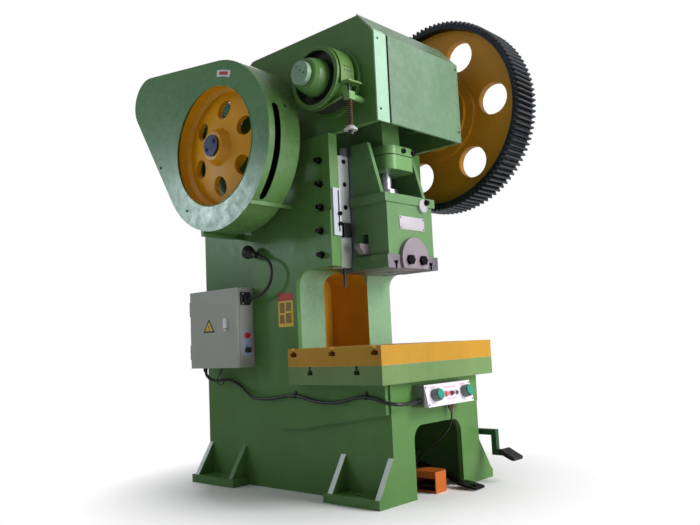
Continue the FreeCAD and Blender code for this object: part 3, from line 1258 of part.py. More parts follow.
def cabinet_door():
    """Folded door with its hinge barrels at the rear upright edge."""
    skin = box("door_skin", "-cabinet_outer", "-cabinet_outer + door_thick", "cabinet_front",
               "cabinet_rear", "cabinet_low", "cabinet_high")
    room = box("door_room", "-cabinet_outer + 3", "-cabinet_outer + door_thick + 1",
               "cabinet_front + 3", "cabinet_rear - 3", "cabinet_low + 3", "cabinet_high - 3")
    hole = rod("door_hole", "x", "latch_y", "(latch_low + latch_high) / 2", "-cabinet_outer - 1",
               "-cabinet_outer + 5", "latch_radius - 6")
    pieces, bores = [cut("door_shell", skin, room)], [hole]
    for k, z in enumerate(("hinge_low + hinge_play", "hinge_high + hinge_play")):
        top = f"{z} + hinge_long - 2 * hinge_play"
        pieces.append(hinge_part(f"door_hinge{k}", z, top, "-cabinet_outer", "-hinge_x - 2",
                                 "cabinet_rear - 4", "hinge_y"))
        bores.append(rod(f"door_hinge_bore{k}", "z", "-hinge_x", "hinge_y", f"{z} - 1", f"{top} + 1",
                         "hinge_pin + running_gap"))
    return node("cabinet_door", cut("door_cut", fuse("door_body", *pieces), *bores))


def door_latch():
    """Quarter-turn latch with an upright handle."""
    middle = "(latch_low + latch_high) / 2"
    points = [("latch_y - latch_radius", "latch_low"), ("latch_y + latch_radius", "latch_low"),
              ("latch_y + latch_radius", "latch_high"), ("latch_y - latch_radius", "latch_high")]
    grip = profile("latch_grip", "x", "-cabinet_outer - latch_thick - 0.3", "-cabinet_outer - 0.3",
                   points, [(points, "latch_radius - 2")])
    stem = rod("latch_stem", "x", "latch_y", middle, "-cabinet_outer - 1", "-cabinet_outer + 12",
               "latch_radius - 6 - running_gap")
    return node("door_latch", fuse("latch", grip, stem))


def cabinet_switch():
    """Rotary selector on the front wall of the cabinet."""
    disc = rod("switch_disc", "y", "-knob_x", "knob_height", "cabinet_front - knob_long",
               "cabinet_front - 0.3", "knob_radius")
    bar = box("switch_bar", "-knob_x - 5", "-knob_x + 5", "cabinet_front - knob_long - 8",
              "cabinet_front - knob_long + 2", "knob_height - knob_radius + 2",
              "knob_height + knob_radius - 2")
    return node("cabinet_switch", fuse("switch_knob", disc, bar))


def panel_point(out, up):
    """Y and Z of a place on the tilted panel, out from it and up its slope."""
    tilt = "atan((panel_high_y - panel_low_y) / (panel_high - panel_low))"
    y = f"(panel_high_y + panel_low_y) / 2 - ({out}) * cos({tilt}) + ({up}) * sin({tilt})"
    z = f"(panel_high + panel_low) / 2 + ({out}) * sin({tilt}) + ({up}) * cos({tilt})"
    return y, z


def panel_rod(name, x, start, end, radius):
    """A round piece square to the tilted panel."""
    bar = DOC.addObject("Part::Cylinder", name)
    y, z = panel_point(start, "0")
    bar.Placement.Rotation = FreeCAD.Rotation(AXES["x"], 90)
    bind(bar, Radius=radius, Height=f"({end}) - ({start})", Placement__Base__x=x,
         Placement__Base__y=y, Placement__Base__z=z)
    tilt = "atan((panel_high_y - panel_low_y) / (panel_high - panel_low))"
    return bind(bar, Placement__Rotation__Angle=f"90 deg - {tilt}")


def signal_lamps():
    """Lenses of the two indicator lamps."""
    beacon = rod("beacon", "y", "-knob_x", "beacon_height", "cabinet_front - beacon_long",
                 "cabinet_front", "beacon_radius")
    pilot = panel_rod("pilot", "pilot_x", "0", "pilot_long", "button_radius + 1")
    return node("signal_lamps", group("lamps", beacon, pilot))


# ---------------------------------------------------------------- cords and hoses
def rounded_path(points):
    """Straight runs joined by arcs as large as each pair of runs allows."""
    spots = [VECTOR(*point) for point in points]
    edges, radii = [], []
    start = spots[0]
    for before, corner, after in zip(spots, spots[1:], spots[2:]):
        come, leave = (corner - before), (after - corner)
        short = min(come.Length, leave.Length)
        turn = come.getAngle(leave)
        setback = 0.45 * short
        radii.append(setback / math.tan(turn / 2))
        come.normalize()
        leave.normalize()
        enter, exit_point = corner - come * setback, corner + leave * setback
        edges.append(Part.LineSegment(start, enter).toShape())
        edges.append(tangent_arc(enter, corner, exit_point))
        start = exit_point
    edges.append(Part.LineSegment(start, spots[-1]).toShape())
    return Part.Wire(edges), radii


def tube(name, points, radius):
    """A round cord, conduit or hose along a rounded path."""
    path, radii = rounded_path(points)
    first = VECTOR(*points[1]) - VECTOR(*points[0])
    section = Part.Wire(Part.makeCircle(radius, VECTOR(*points[0]), first))
    solid = path.makePipeShell([section], True, False)
    share = solid.Volume / (math.pi * radius * radius * path.Length)
    print(name, "length", round(path.Length), "least radius", round(min(radii), 1), "volume share",
          round(share, 4))
    return formed(name, solid)


# The routes are chosen by hand: X and Z in the press's frame, Y from the ram line.
CONDUIT_ROUTE = [
    (-470, 1150, 705), (-470, 1150, 670), (-463, 1128, 638), (-450, 1084, 622), (-434, 1030, 626),
    (-418, 968, 628), (-408, 905, 600), (-410, 846, 564), (-424, 786, 536), (-434, 728, 522),
    (-437, 640, 517), (-436, 560, 521), (-433, 480, 532), (-430, 413, 540), (-430, 345, 538),
    (-434, 270, 522), (-437, 190, 509), (-437, 100, 505), (-436, 20, 511), (-433, -60, 529),
    (-430, -122, 541), (-430, -188, 539), (-434, -246, 526), (-433, -302, 512), (-400, -344, 504),
    (-340, -346, 500), (-272, -340, 502), (-209, -340, 502),
]
FOOT_CABLE_ROUTE = [
    (80, -330, 424), (80, -330, 390), (78, -318, 346), (72, -284, 302), (62, -236, 262),
    (52, -182, 224), (44, -132, 180), (38, -92, 128), (33, -74, 72), (24, -88, 24), (10, -114, 13),
    (10, -137, 13),
]
NECK_ROUTE = [
    (-475, 701, 1112), (-475, 656, 1112), (-473, 604, 1124), (-474, 556, 1142), (-476, 516, 1168),
    (-478, 488, 1208), (-478, 478, 1256), (-476, 492, 1300), (-474, 528, 1330), (-473, 572, 1348),
    (-474, 612, 1362),
]


def side_conduit():
    """Conduit from under the cabinet, clipped along the side to the control box."""
    return node("side_conduit", tube("conduit", CONDUIT_ROUTE, value("conduit_radius")))


def cable_clips():
    """Saddle clips, each round the middle of a straight run of the conduit."""
    inner, wall = value("conduit_radius") + 0.4, value("clip_thick")
    width = value("clip_width")
    face = -value("side_outer + doubler_thick")
    clips = []
    for k, run in enumerate((CONDUIT_ROUTE[13:15], CONDUIT_ROUTE[20:22])):
        one, two = VECTOR(*run[0]), VECTOR(*run[1])
        way = (two - one).normalize()
        start = (one + two) * 0.5 - way * (width / 2)
        ring = Part.makeCylinder(inner + wall, width, start, way)
        tab = Part.makeBox(wall, width * 0.8, 3 * inner,
                           VECTOR(face - wall, start.y - width * 0.9, start.z))
        bore = Part.makeCylinder(inner, width + 4, start - way * 2, way)
        wall_side = Part.makeBox(200, 400, 400, VECTOR(face, start.y - 200, start.z - 200))
        clips.append(formed(f"clip{k}", ring.fuse(tab).cut(bore.fuse(wall_side)).removeSplitter()))
    return node("cable_clips", group("clips", *clips))


def foot_cable():
    """Thin cable from the gland down to the foot switch."""
    return node("foot_cable", tube("switch_cable", FOOT_CABLE_ROUTE, value("foot_cable")))


def lamp_gooseneck():
    """Work lamp's socket block and its bendable neck."""
    block = box("lamp_socket", "-lamp_base_x - lamp_base_half", "-lamp_base_x + lamp_base_half",
                "cabinet_front - lamp_base_long", "cabinet_front", "lamp_base_height - lamp_base_half",
                "lamp_base_height + lamp_base_half")
    return node("lamp_gooseneck", fuse("gooseneck", block, tube("neck", NECK_ROUTE,
                                                                value("neck_radius"))))


def lamp_head():
    """Conical lamp shade on the end of the neck."""
    end, before = VECTOR(*NECK_ROUTE[-1]), VECTOR(*NECK_ROUTE[-2])
    way = (end - before).normalize()
    small, big, length = value("lamp_small"), value("lamp_big"), value("lamp_long")
    wall = value("lamp_wall")
    cap = Part.makeCylinder(small, 24, end, way)
    shade = Part.makeCone(small, big, length - 44, end + way * 24, way)
    rim = Part.makeCylinder(big, 20, end + way * (length - 20), way)
    bowl = Part.makeCone(small - wall, big - wall, length - 48, end + way * 28, way)
    mouth = Part.makeCylinder(big - wall, 24, end + way * (length - 20), way)
    return node("lamp_head", formed("shade", cap.fuse([shade, rim]).cut(bowl.fuse(mouth))))


def lamp_lens():
    """Glass disc set back in the mouth of the shade."""
    end, before = VECTOR(*NECK_ROUTE[-1]), VECTOR(*NECK_ROUTE[-2])
    way = (end - before).normalize()
    start = end + way * value("lamp_long - lens_back")
    disc = Part.makeCylinder(value("lamp_big - lamp_wall"), value("lens_thick"), start, way)
    return node("lamp_lens", formed("lens", disc))


# ---------------------------------------------------------------- control box
def control_box():
    """Tilted two-hand control box under the bolster."""
    points = [("base_front", "panel_low"), ("panel_low_y", "panel_low"),
              ("panel_high_y", "panel_high"), ("base_front", "panel_high")]
    case = profile("panel_case", "x", "-panel_half", "panel_half", points)
    holes = [panel_rod(f"panel_hole_{name}", x, "palm_stem_back - 10", "panel_sheet", radius)
             for name, x, radius in (("l", "-palm_x", "palm_stem + running_gap"),
                                     ("r", "palm_x", "palm_stem + running_gap"),
                                     ("stop", "stop_x", "button_radius + button_gap"),
                                     ("start", "start_x", "button_radius - 2 + button_gap"))]
    return node("control_box", cut("panel_cut", case, *holes))


def palm_rings():
    """Collars that shield the two palm buttons."""
    rings = []
    for name, x in (("l", "-palm_x"), ("r", "palm_x")):
        wall = panel_rod(f"palm_wall_{name}", x, "0", "palm_ring_long", "palm_ring")
        hole = panel_rod(f"palm_hole_{name}", x, "-1", "palm_ring_long + 1", "palm_cap + 1.5")
        rings.append(cut(f"palm_ring_{name}", wall, hole))
    return node("palm_rings", group("palm_ring_pair", *rings))


def palm_button(side):
    """Mushroom button that travels square to the panel."""
    x = "-palm_x" if side == "left" else "palm_x"
    cap = panel_rod(f"palm_cap_{side}", x, "palm_cap_start", "palm_cap_long", "palm_cap")
    stem = panel_rod(f"palm_stem_{side}", x, "palm_stem_back", "palm_cap_start + 1", "palm_stem")
    return node(f"palm_button_{side}", fuse(f"palm_{side}", cap, stem))


def small_button(name, x, radius, long):
    """Push button of the panel's middle row."""
    return node(name, panel_rod(name + "_cap", x, "palm_stem_back", long, radius))


def cable_gland():
    """Gland under the control box for the foot switch cable."""
    nut = hexagon("gland_nut", "z", "gland_x", "gland_y", "panel_low - gland_long + 14",
                  "panel_low", "2 * gland_radius")
    taper = turned("gland_taper", "z", "gland_x", "gland_y",
                   [("panel_low - gland_long - 3", "0"), ("panel_low - gland_long - 3", "foot_cable + 3"),
                    ("panel_low - gland_long + 15", "gland_radius - 3"),
                    ("panel_low - gland_long + 15", "0")])
    return node("cable_gland", fuse("gland", nut, taper))


# ---------------------------------------------------------------- foot controls
def foot_switch():
    """Hooded foot switch, open towards the left."""
    low = [("switch_x - switch_half_x", "switch_y - switch_half_y"),
           ("switch_x + switch_half_x", "switch_y - switch_half_y"),
           ("switch_x + switch_half_x", "switch_y + switch_half_y"),
           ("switch_x - switch_half_x", "switch_y + switch_half_y")]
    hood = profile("hood", "z", "0", "switch_tall", low, [(low[1:3], "switch_round")])
    room = box("hood_room", "switch_x - switch_half_x - 1", "switch_x + switch_half_x - 20",
               "switch_y - switch_half_y + switch_wall", "switch_y + switch_half_y - switch_wall",
               "12", "switch_mouth")
    pin = rod("pedal_pin", "y", "pedal_pivot_x", "pedal_pivot_z",
              "switch_y - switch_half_y + switch_wall - 1", "switch_y + switch_half_y - switch_wall + 1",
              "pedal_pin")
    return node("foot_switch", fuse("switch", cut("hood_cut", hood, room), pin))


def foot_pedal():
    """Pedal plate inside the hood, hinged at its inner end."""
    near = "switch_y - switch_half_y + switch_wall + 3"
    far = "switch_y + switch_half_y - switch_wall - 3"
    plate = box("pedal_plate", "switch_x - switch_half_x + 6", "switch_x + switch_half_x - 22",
                near, far, "pedal_height", "pedal_height + pedal_thick")
    eye = rod("pedal_eye", "y", "pedal_pivot_x", "pedal_pivot_z", near, far, "2 * pedal_pin")
    bore = rod("pedal_bore", "y", "pedal_pivot_x", "pedal_pivot_z", f"{near} - 1", f"{far} + 1",
               "pedal_pin + running_gap")
    return node("foot_pedal", cut("pedal", fuse("pedal_solid", plate, eye), bore))


def side_treadle():
    """Cranked treadle on the right of the base, with its pad."""
    x0, x1 = "treadle_x - treadle_bar / 2", "treadle_x + treadle_bar / 2"
    half = "treadle_bar / 2"
    points = [("treadle_pivot_y", f"treadle_pivot_z - {half}"), ("-360", f"treadle_pivot_z - {half}"),
              ("-360", "144"), ("-440", "144"), ("-440", "176"),
              ("-392", "176"), ("-392", f"treadle_pivot_z + {half}"),
              ("treadle_pivot_y", f"treadle_pivot_z + {half}")]
    bar = profile("treadle_lever", "x", x0, x1, points)
    boss = rod("treadle_eye", "x", "treadle_pivot_y", "treadle_pivot_z", x0, x1, "treadle_boss")
    pad = profile("treadle_sole", "x", "treadle_x - treadle_pad / 2", "treadle_x + treadle_pad / 2",
                  [("-415", "176"), ("-436", "184"), ("-523", "140"), ("-518", "124"), ("-500", "126"),
                   ("-430", "158")])
    hole = rod("treadle_bore", "x", "treadle_pivot_y", "treadle_pivot_z", f"{x0} - 1", f"{x1} + 1",
               "treadle_pin + running_gap")
    return node("side_treadle", cut("treadle", fuse("treadle_solid", bar, boss, pad), hole))


def arch_lever():
    """Low treadle lever that comes forward through the arch."""
    x0, x1 = "lever_x - lever_bar / 2", "lever_x + lever_bar / 2"
    bar = profile("lever_body", "x", x0, x1,
                  [("lever_pivot_y", "lever_pivot_z - 16"), ("-230", "44"), ("-330", "10"),
                   ("-420", "10"), ("-420", "26"), ("-330", "34"), ("-230", "74"),
                   ("lever_pivot_y", "lever_pivot_z + 16")])
    boss = rod("lever_eye", "x", "lever_pivot_y", "lever_pivot_z", x0, x1, "treadle_boss")
    pad = profile("lever_sole", "x", "lever_x - lever_pad / 2", "lever_x + lever_pad / 2",
                  [("-320", "22"), ("-436", "6"), ("-436", "18"), ("-320", "38")])
    hole = rod("lever_bore", "x", "lever_pivot_y", "lever_pivot_z", f"{x0} - 1", f"{x1} + 1",
               "treadle_pin + running_gap")
    return node("arch_lever", cut("lever", fuse("lever_solid", bar, boss, pad), hole))


def treadle_pins():
    """Fixed pins of the two treadles, welded to the right side plate."""
    outer = rod("pin_outer", "x", "treadle_pivot_y", "treadle_pivot_z", "side_outer",
                "treadle_x + treadle_bar / 2 + 12", "treadle_pin")
    inner = rod("pin_inner", "x", "lever_pivot_y", "lever_pivot_z", "lever_x - lever_bar / 2 - 12",
                "side_outer - side_thick", "treadle_pin")
    return node("treadle_pins", group("pins", outer, inner))


# ---------------------------------------------------------------- build
def build():
    """Make every sub-part, in the order in which the press goes together."""
    frame_weldment()
    bed_table()
    bolster_plate()
    head_cover()
    crankshaft()
    shaft_bushes()
    brake_drum()
    brake_band()
    brake_anchor()
    brake_rod()
    brake_spring()
    spring_cup()
    big_gear()
    clutch_collar()
    drive_shaft()
    pinion()
    flywheel()
    shaft_nut()
    motor()
    motor_bracket()
    motor_pulley()
    drive_belts()
    belt_guard()
    guard_struts()
    ram()
    ram_sole()
    shank_clamp()
    clamp_bolts()
    knockout_bar()
    gibs()
    adjusting_bolts()
    scale_plate()
    stop_block()
    ejector_rod()
    connecting_rod()
    adjusting_screw()
    ball_seat_ring()
    cabinet()
    cabinet_door()
    door_latch()
    cabinet_switch()
    signal_lamps()
    side_conduit()
    cable_clips()
    foot_cable()
    lamp_gooseneck()
    lamp_head()
    lamp_lens()
    control_box()
    palm_rings()
    palm_button("left")
    palm_button("right")
    small_button("stop_button", "stop_x", "button_radius", "button_long")
    small_button("start_button", "start_x", "button_radius - 2", "button_long - 6")
    cable_gland()
    foot_switch()
    foot_pedal()
    side_treadle()
    arch_lever()
    treadle_pins()


def export():
    """Check every object and write one STEP file for each sub-part."""
    DOC.recompute()
    failed = [item.Name for item in DOC.Objects if {"Invalid", "Error"} & set(item.State)]
    if failed:
        raise RuntimeError("failed objects: " + ", ".join(failed))
    os.makedirs("parts", exist_ok=True)
    for item in NODES:
        if item.Shape.isNull() or not item.Shape.isValid():
            raise RuntimeError("bad shape: " + item.Label)
        item.Shape.exportStep(f"parts/{item.Label}.step")
    whole = Part.makeCompound([item.Shape for item in NODES]).BoundBox
    print(len(NODES), "sub-parts, box", [round(c, 1) for c in (whole.XMin, whole.XMax, whole.YMin,
                                                               whole.YMax, whole.ZMin, whole.ZMax)])


build()
export()
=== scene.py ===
"""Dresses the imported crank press: finishes, small trim, cable, studio and camera."""

import json
import logging
import math
from dataclasses import dataclass, field
from enum import Enum
from typing import Callable, Iterable, Sequence

import bmesh
import bpy
from mathutils import Matrix, Vector

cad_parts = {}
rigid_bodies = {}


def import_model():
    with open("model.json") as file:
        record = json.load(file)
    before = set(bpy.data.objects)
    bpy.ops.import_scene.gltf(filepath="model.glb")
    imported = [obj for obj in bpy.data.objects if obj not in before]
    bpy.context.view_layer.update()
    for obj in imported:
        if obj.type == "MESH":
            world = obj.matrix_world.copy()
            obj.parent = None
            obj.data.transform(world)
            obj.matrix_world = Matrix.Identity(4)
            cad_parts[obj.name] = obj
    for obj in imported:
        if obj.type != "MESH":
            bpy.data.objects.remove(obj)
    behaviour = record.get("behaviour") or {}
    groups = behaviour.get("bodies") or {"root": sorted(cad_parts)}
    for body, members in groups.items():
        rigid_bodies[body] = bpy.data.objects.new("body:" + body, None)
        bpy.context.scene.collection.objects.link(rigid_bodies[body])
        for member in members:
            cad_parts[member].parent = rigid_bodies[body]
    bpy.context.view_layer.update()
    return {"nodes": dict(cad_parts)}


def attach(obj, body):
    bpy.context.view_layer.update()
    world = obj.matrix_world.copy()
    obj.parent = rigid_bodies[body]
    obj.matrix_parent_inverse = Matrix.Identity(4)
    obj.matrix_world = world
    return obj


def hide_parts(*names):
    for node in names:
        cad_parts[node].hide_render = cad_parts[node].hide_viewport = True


LOG = logging.getLogger("press")
RAM_LINE = -431.5  # the ram's axis along Y in the press's frame, in millimetres
CRANK_AXIS = (0, 2262)  # y and z in millimetres from the ram line, as for the flywheel below
WHEEL_AXIS = (661.5, 1993.4)
LEFT, RIGHT, FRONT, UP = Vector((-1, 0, 0)), Vector((1, 0, 0)), Vector((0, -1, 0)), Vector((0, 0, 1))
ORIGIN = Vector((0, 0, 0))
Colour = tuple[float, float, float]
Spot = tuple[float, float, float]
Pair = tuple[float, float]
Pairs = Sequence[Pair]
Facing = tuple[Vector, Vector]
Socket = bpy.types.NodeSocket
Sockets = bpy.types.bpy_prop_collection


def at(x: float, y: float, z: float) -> Vector:
    """Place in metres of a spot given in millimetres from the ram line."""
    return Vector((x / 1000, (y + RAM_LINE) / 1000, z / 1000))


def on_front(y: float, pairs: Iterable[Pair]) -> list[Facing]:
    """Spots at (x, z) pairs on a face that looks to the front, with their direction."""
    return [(at(x, y, z), FRONT) for x, z in pairs]


def linear(colour: Colour) -> tuple[float, float, float, float]:
    """Scene-linear value of a display colour."""
    return tuple(c / 12.92 if c <= 0.04045 else ((c + 0.055) / 1.055) ** 2.4 for c in colour) + (1.0,)


# ------------------------------------------------------------------ node trees
class Tree:
    """Short way of placing and joining nodes in one node tree."""

    def __init__(self, tree: bpy.types.NodeTree) -> None:
        """Keep the tree that nodes are added to."""
        self.tree = tree

    def join(self, node: bpy.types.Node, inputs: dict) -> bpy.types.Node:
        """Set or join a node's inputs.

        Args:
            node: The node.
            inputs: Socket name or index to a value or to a socket to join.

        Returns:
            The same node.
        """
        for key, source in inputs.items():
            if isinstance(source, Socket):
                self.tree.links.new(source, node.inputs[key])
            else:
                node.inputs[key].default_value = source
        return node

    def add(self, kind: str, inputs: dict | None = None, **props: object) -> bpy.types.Node:
        """Add a node.

        Args:
            kind: Node type.
            inputs: Inputs, as join takes them.
            props: Node properties.

        Returns:
            The new node.
        """
        node = self.tree.nodes.new(kind)
        for key, setting in props.items():
            setattr(node, key, setting)
        return self.join(node, inputs or {})

    def math(self, kind: str, first: object, second: object, clamp: bool = False) -> Socket:
        """Output of a maths node over two values or sockets."""
        return self.add("ShaderNodeMath", {0: first, 1: second}, operation=kind, use_clamp=clamp).outputs[0]

    def times(self, first: object, second: object, clamp: bool = False) -> Socket:
        """Product of two values or sockets."""
        return self.math("MULTIPLY", first, second, clamp)

    def vector(self, kind: str, first: object, second: Spot | Socket = (0, 0, 0)) -> Socket:
        """Output of a vector maths node."""
        node = self.add("ShaderNodeVectorMath", {0: first, 1: second}, operation=kind)
        return node.outputs["Value" if kind in ("LENGTH", "DOT_PRODUCT") else "Vector"]

    def mix(self, share: object, first: object, second: object, blend: str = "MIX") -> Socket:
        """Output of a colour mix."""
        inputs = {0: share, 6: first, 7: second}
        return self.add("ShaderNodeMix", inputs, data_type="RGBA", blend_type=blend).outputs[2]

    def ramp(self, value: object, low: float, high: float, start: float = 0.0, end: float = 1.0) -> Socket:
        """Value mapped from low..high to start..end, clamped."""
        return self.add("ShaderNodeMapRange", {0: value, 1: low, 2: high, 3: start, 4: end}).outputs[0]

    def shade(self, colour: object, value: Socket, dark: float, pale: float) -> Socket:
        """Colour made darker and paler by a value."""
        light = self.mix(self.ramp(value, 0.3, 0.7), (dark, dark, dark, 1), (pale, pale, pale, 1))
        return self.mix(1.0, colour, light, "MULTIPLY")

    def coords(self) -> Socket:
        """Object coordinates."""
        return self.add("ShaderNodeTexCoord").outputs["Object"]

    def noise(self, vector: Socket, scale: float, detail: float = 4.0, rough: float = 0.5) -> Socket:
        """Value of a noise texture."""
        inputs = {"Vector": vector, "Scale": scale, "Detail": detail, "Roughness": rough}
        return self.add("ShaderNodeTexNoise", inputs).outputs["Fac"]

    def stretch(self, vector: Socket, factors: Spot) -> Socket:
        """Coordinates scaled axis by axis."""
        return self.add("ShaderNodeMapping", {"Vector": vector, "Scale": factors}).outputs[0]

    def bump(self, height: Socket, strength: float, distance: float) -> Socket:
        """Normal of the surface with a height added."""
        inputs = {"Strength": strength, "Distance": distance, "Height": height}
        return self.add("ShaderNodeBump", inputs).outputs[0]


@dataclass(frozen=True)
class Group:
    """Shader node group of float sockets, made on first use from a recipe for its nodes."""

    name: str
    inputs: dict[str, float]
    outputs: tuple[str, ...]
    recipe: Callable[[Tree, Sockets], list[Socket]]

    def made(self) -> bpy.types.NodeTree:
        """Find the group or make it.

        Returns:
            The node group.
        """
        made = bpy.data.node_groups.get(self.name)
        if made:
            return made
        made = bpy.data.node_groups.new(self.name, "ShaderNodeTree")
        new_socket = made.interface.new_socket
        for label, value in self.inputs.items():
            new_socket(label, in_out="INPUT", socket_type="NodeSocketFloat").default_value = value
        for label in self.outputs:
            new_socket(label, in_out="OUTPUT", socket_type="NodeSocketFloat")
        tree = Tree(made)
        results = self.recipe(tree, tree.add("NodeGroupInput").outputs)
        tree.add("NodeGroupOutput", dict(zip(self.outputs, results)))
        return made

    def use(self, tree: Tree, inputs: dict[str, float] | None = None) -> Sockets:
        """Outputs of the group, placed in a tree with some of its inputs set."""
        return tree.add("ShaderNodeGroup", inputs, node_tree=self.made()).outputs


def edge_wear(tree: Tree, source: Sockets) -> list[Socket]:
    """Compare the rounded normal with the flat one and break the result up.

    Args:
        tree: The group's tree.
        source: Its inputs.

    Returns:
        Mask that is 1 on rubbed outer edges and 0 on flat faces.
    """
    rounded = tree.add("ShaderNodeBevel", {"Radius": source["Width"]}, samples=4).outputs[0]
    lean = tree.vector("DOT_PRODUCT", rounded, tree.add("ShaderNodeNewGeometry").outputs["Normal"])
    grain = tree.noise(tree.coords(), 55.0, 6.0, 0.65)
    patch = tree.noise(tree.coords(), 7.0, 3.0)
    chips = tree.times(tree.ramp(grain, 0.42, 0.62), tree.ramp(patch, 0.35, 0.6))
    worn = tree.times(tree.ramp(lean, 0.985, 0.86), tree.math("ADD", chips, 0.12), True)
    return [tree.times(worn, source["Amount"], True)]


def shop_grime(tree: Tree, source: Sockets) -> list[Socket]:
    """Mix soft blotches with runs stretched down the part, thicker near the floor.

    Args:
        tree: The group's tree.
        source: Its inputs.

    Returns:
        Mask of the oily dust.
    """
    spot = tree.coords()
    blotch = tree.ramp(tree.noise(spot, 2.2, 5.0, 0.6), 0.45, 0.75)
    runs = tree.ramp(tree.noise(tree.stretch(spot, (28, 28, 1.6)), 1.0, 4.0, 0.6), 0.52, 0.75)
    height = tree.add("ShaderNodeSeparateXYZ", {0: spot}).outputs["Z"]
    both = tree.math("ADD", tree.times(runs, 0.45), tree.times(blotch, 0.5))
    total = tree.math("ADD", both, tree.ramp(height, 0.45, 0.0, 0.0, 0.6), True)
    return [tree.times(total, source["Amount"], True)]


def paint_peel(tree: Tree, source: Sockets) -> list[Socket]:
    """Add fine peel to the slow waves of paint over filler.

    Args:
        tree: The group's tree.
        source: Its inputs.

    Returns:
        Height of the paint.
    """
    spot = tree.coords()
    fine = tree.times(tree.noise(spot, 420.0, 2.0), source["Fine"])
    return [tree.math("ADD", fine, tree.times(tree.noise(spot, 9.0, 2.0), source["Slow"]))]


def tool_marks(tree: Tree, source: Sockets) -> list[Socket]:
    """Stretch noise across the direction of turning or grinding.

    Args:
        tree: The group's tree.
        source: Its inputs.

    Returns:
        The lines and the oil stain.
    """
    across = tree.add("ShaderNodeCombineXYZ", {k: source[k] for k in range(3)}).outputs[0]
    fine = tree.noise(tree.vector("MULTIPLY", tree.coords(), across), 1.0, 6.0, 0.7)
    return [fine, tree.ramp(tree.noise(tree.coords(), 14.0, 4.0, 0.6), 0.4, 0.75)]


EDGE_WEAR = Group("edge wear", {"Width": 0.003, "Amount": 1.0}, ("Mask",), edge_wear)
SHOP_GRIME = Group("shop grime", {"Amount": 0.4}, ("Mask",), shop_grime)
PAINT_PEEL = Group("paint peel", {"Fine": 0.2, "Slow": 1.0}, ("Height",), paint_peel)
TOOL_MARKS = Group("tool marks", {"Across X": 900.0, "Across Y": 40.0, "Across Z": 40.0}, ("Lines", "Stain"),
                   tool_marks)


# ------------------------------------------------------------------ zones of a finish
@dataclass(frozen=True)
class BoxZone:
    """Differing part of a finish between two corners, in millimetres from the ram line."""

    low: Spot
    high: Spot
    colour: Colour
    rough: float
    metal: float = 0.0

    def mask(self, tree: Tree) -> Socket:
        """Add the nodes of the zone's mask.

        Args:
            tree: Tree that takes the nodes.

        Returns:
            Socket that is 1 inside the box.
        """
        low, high = at(*self.low), at(*self.high)
        off = tree.vector("SUBTRACT", tree.coords(), tuple((low + high) / 2))
        sides = tree.add("ShaderNodeSeparateXYZ", {0: tree.vector("ABSOLUTE", off)}).outputs
        inside = [tree.math("LESS_THAN", side, half) for side, half in zip(sides, (high - low) / 2)]
        return tree.times(tree.times(inside[0], inside[1]), inside[2])


@dataclass(frozen=True)
class RingZone:
    """Differing part of a round piece's finish between two radii and two places along X."""

    y: float
    z: float
    inner: float
    outer: float
    colour: Colour
    rough: float
    metal: float = 0.0
    start: float = -2000.0
    end: float = 2000.0

    def mask(self, tree: Tree) -> Socket:
        """Add the nodes of the zone's mask.

        Args:
            tree: Tree that takes the nodes.

        Returns:
            Socket that is 1 inside the ring.
        """
        off = tree.vector("SUBTRACT", tree.coords(), tuple(at(0, self.y, self.z)))
        along, y, z = tree.add("ShaderNodeSeparateXYZ", {0: off}).outputs
        reach = tree.vector("LENGTH", tree.add("ShaderNodeCombineXYZ", {1: y, 2: z}).outputs[0])
        inside = [tree.math(kind, value, limit / 1000) for kind, value, limit in (
            ("GREATER_THAN", reach, self.inner), ("LESS_THAN", reach, self.outer),
            ("GREATER_THAN", along, self.start), ("LESS_THAN", along, self.end))]
        return tree.times(tree.times(inside[0], inside[1]), tree.times(inside[2], inside[3]))


Zone = BoxZone | RingZone


def zoned(tree: Tree, zones: Iterable[Zone], colour: Colour, rough: float,
          metal: float) -> tuple[object, object, object]:
    """Change a finish inside its zones.

    Args:
        tree: Tree that takes the nodes.
        zones: The zones.
        colour: Colour elsewhere.
        rough: Roughness elsewhere.
        metal: Metal share elsewhere.

    Returns:
        Colour, roughness and metal share, each a plain value or a socket.
    """
    tone, dull, share = linear(colour), rough, metal
    for zone in zones:
        mask = zone.mask(tree)
        tone = tree.mix(mask, tone, linear(zone.colour))
        dull = tree.add("ShaderNodeMix", {0: mask, 2: dull, 3: zone.rough}).outputs[0]
        share = tree.add("ShaderNodeMix", {0: mask, 2: share, 3: zone.metal}).outputs[0]
    return tone, dull, share


# ------------------------------------------------------------------ finishes
def surface(name: str) -> tuple[bpy.types.Material, Tree, bpy.types.Node]:
    """Start a material.

    Args:
        name: Its name.

    Returns:
        The material, its tree and its Principled shader.
    """
    material = bpy.data.materials.new(name)
    material.use_nodes = True
    return material, Tree(material.node_tree), material.node_tree.nodes["Principled BSDF"]


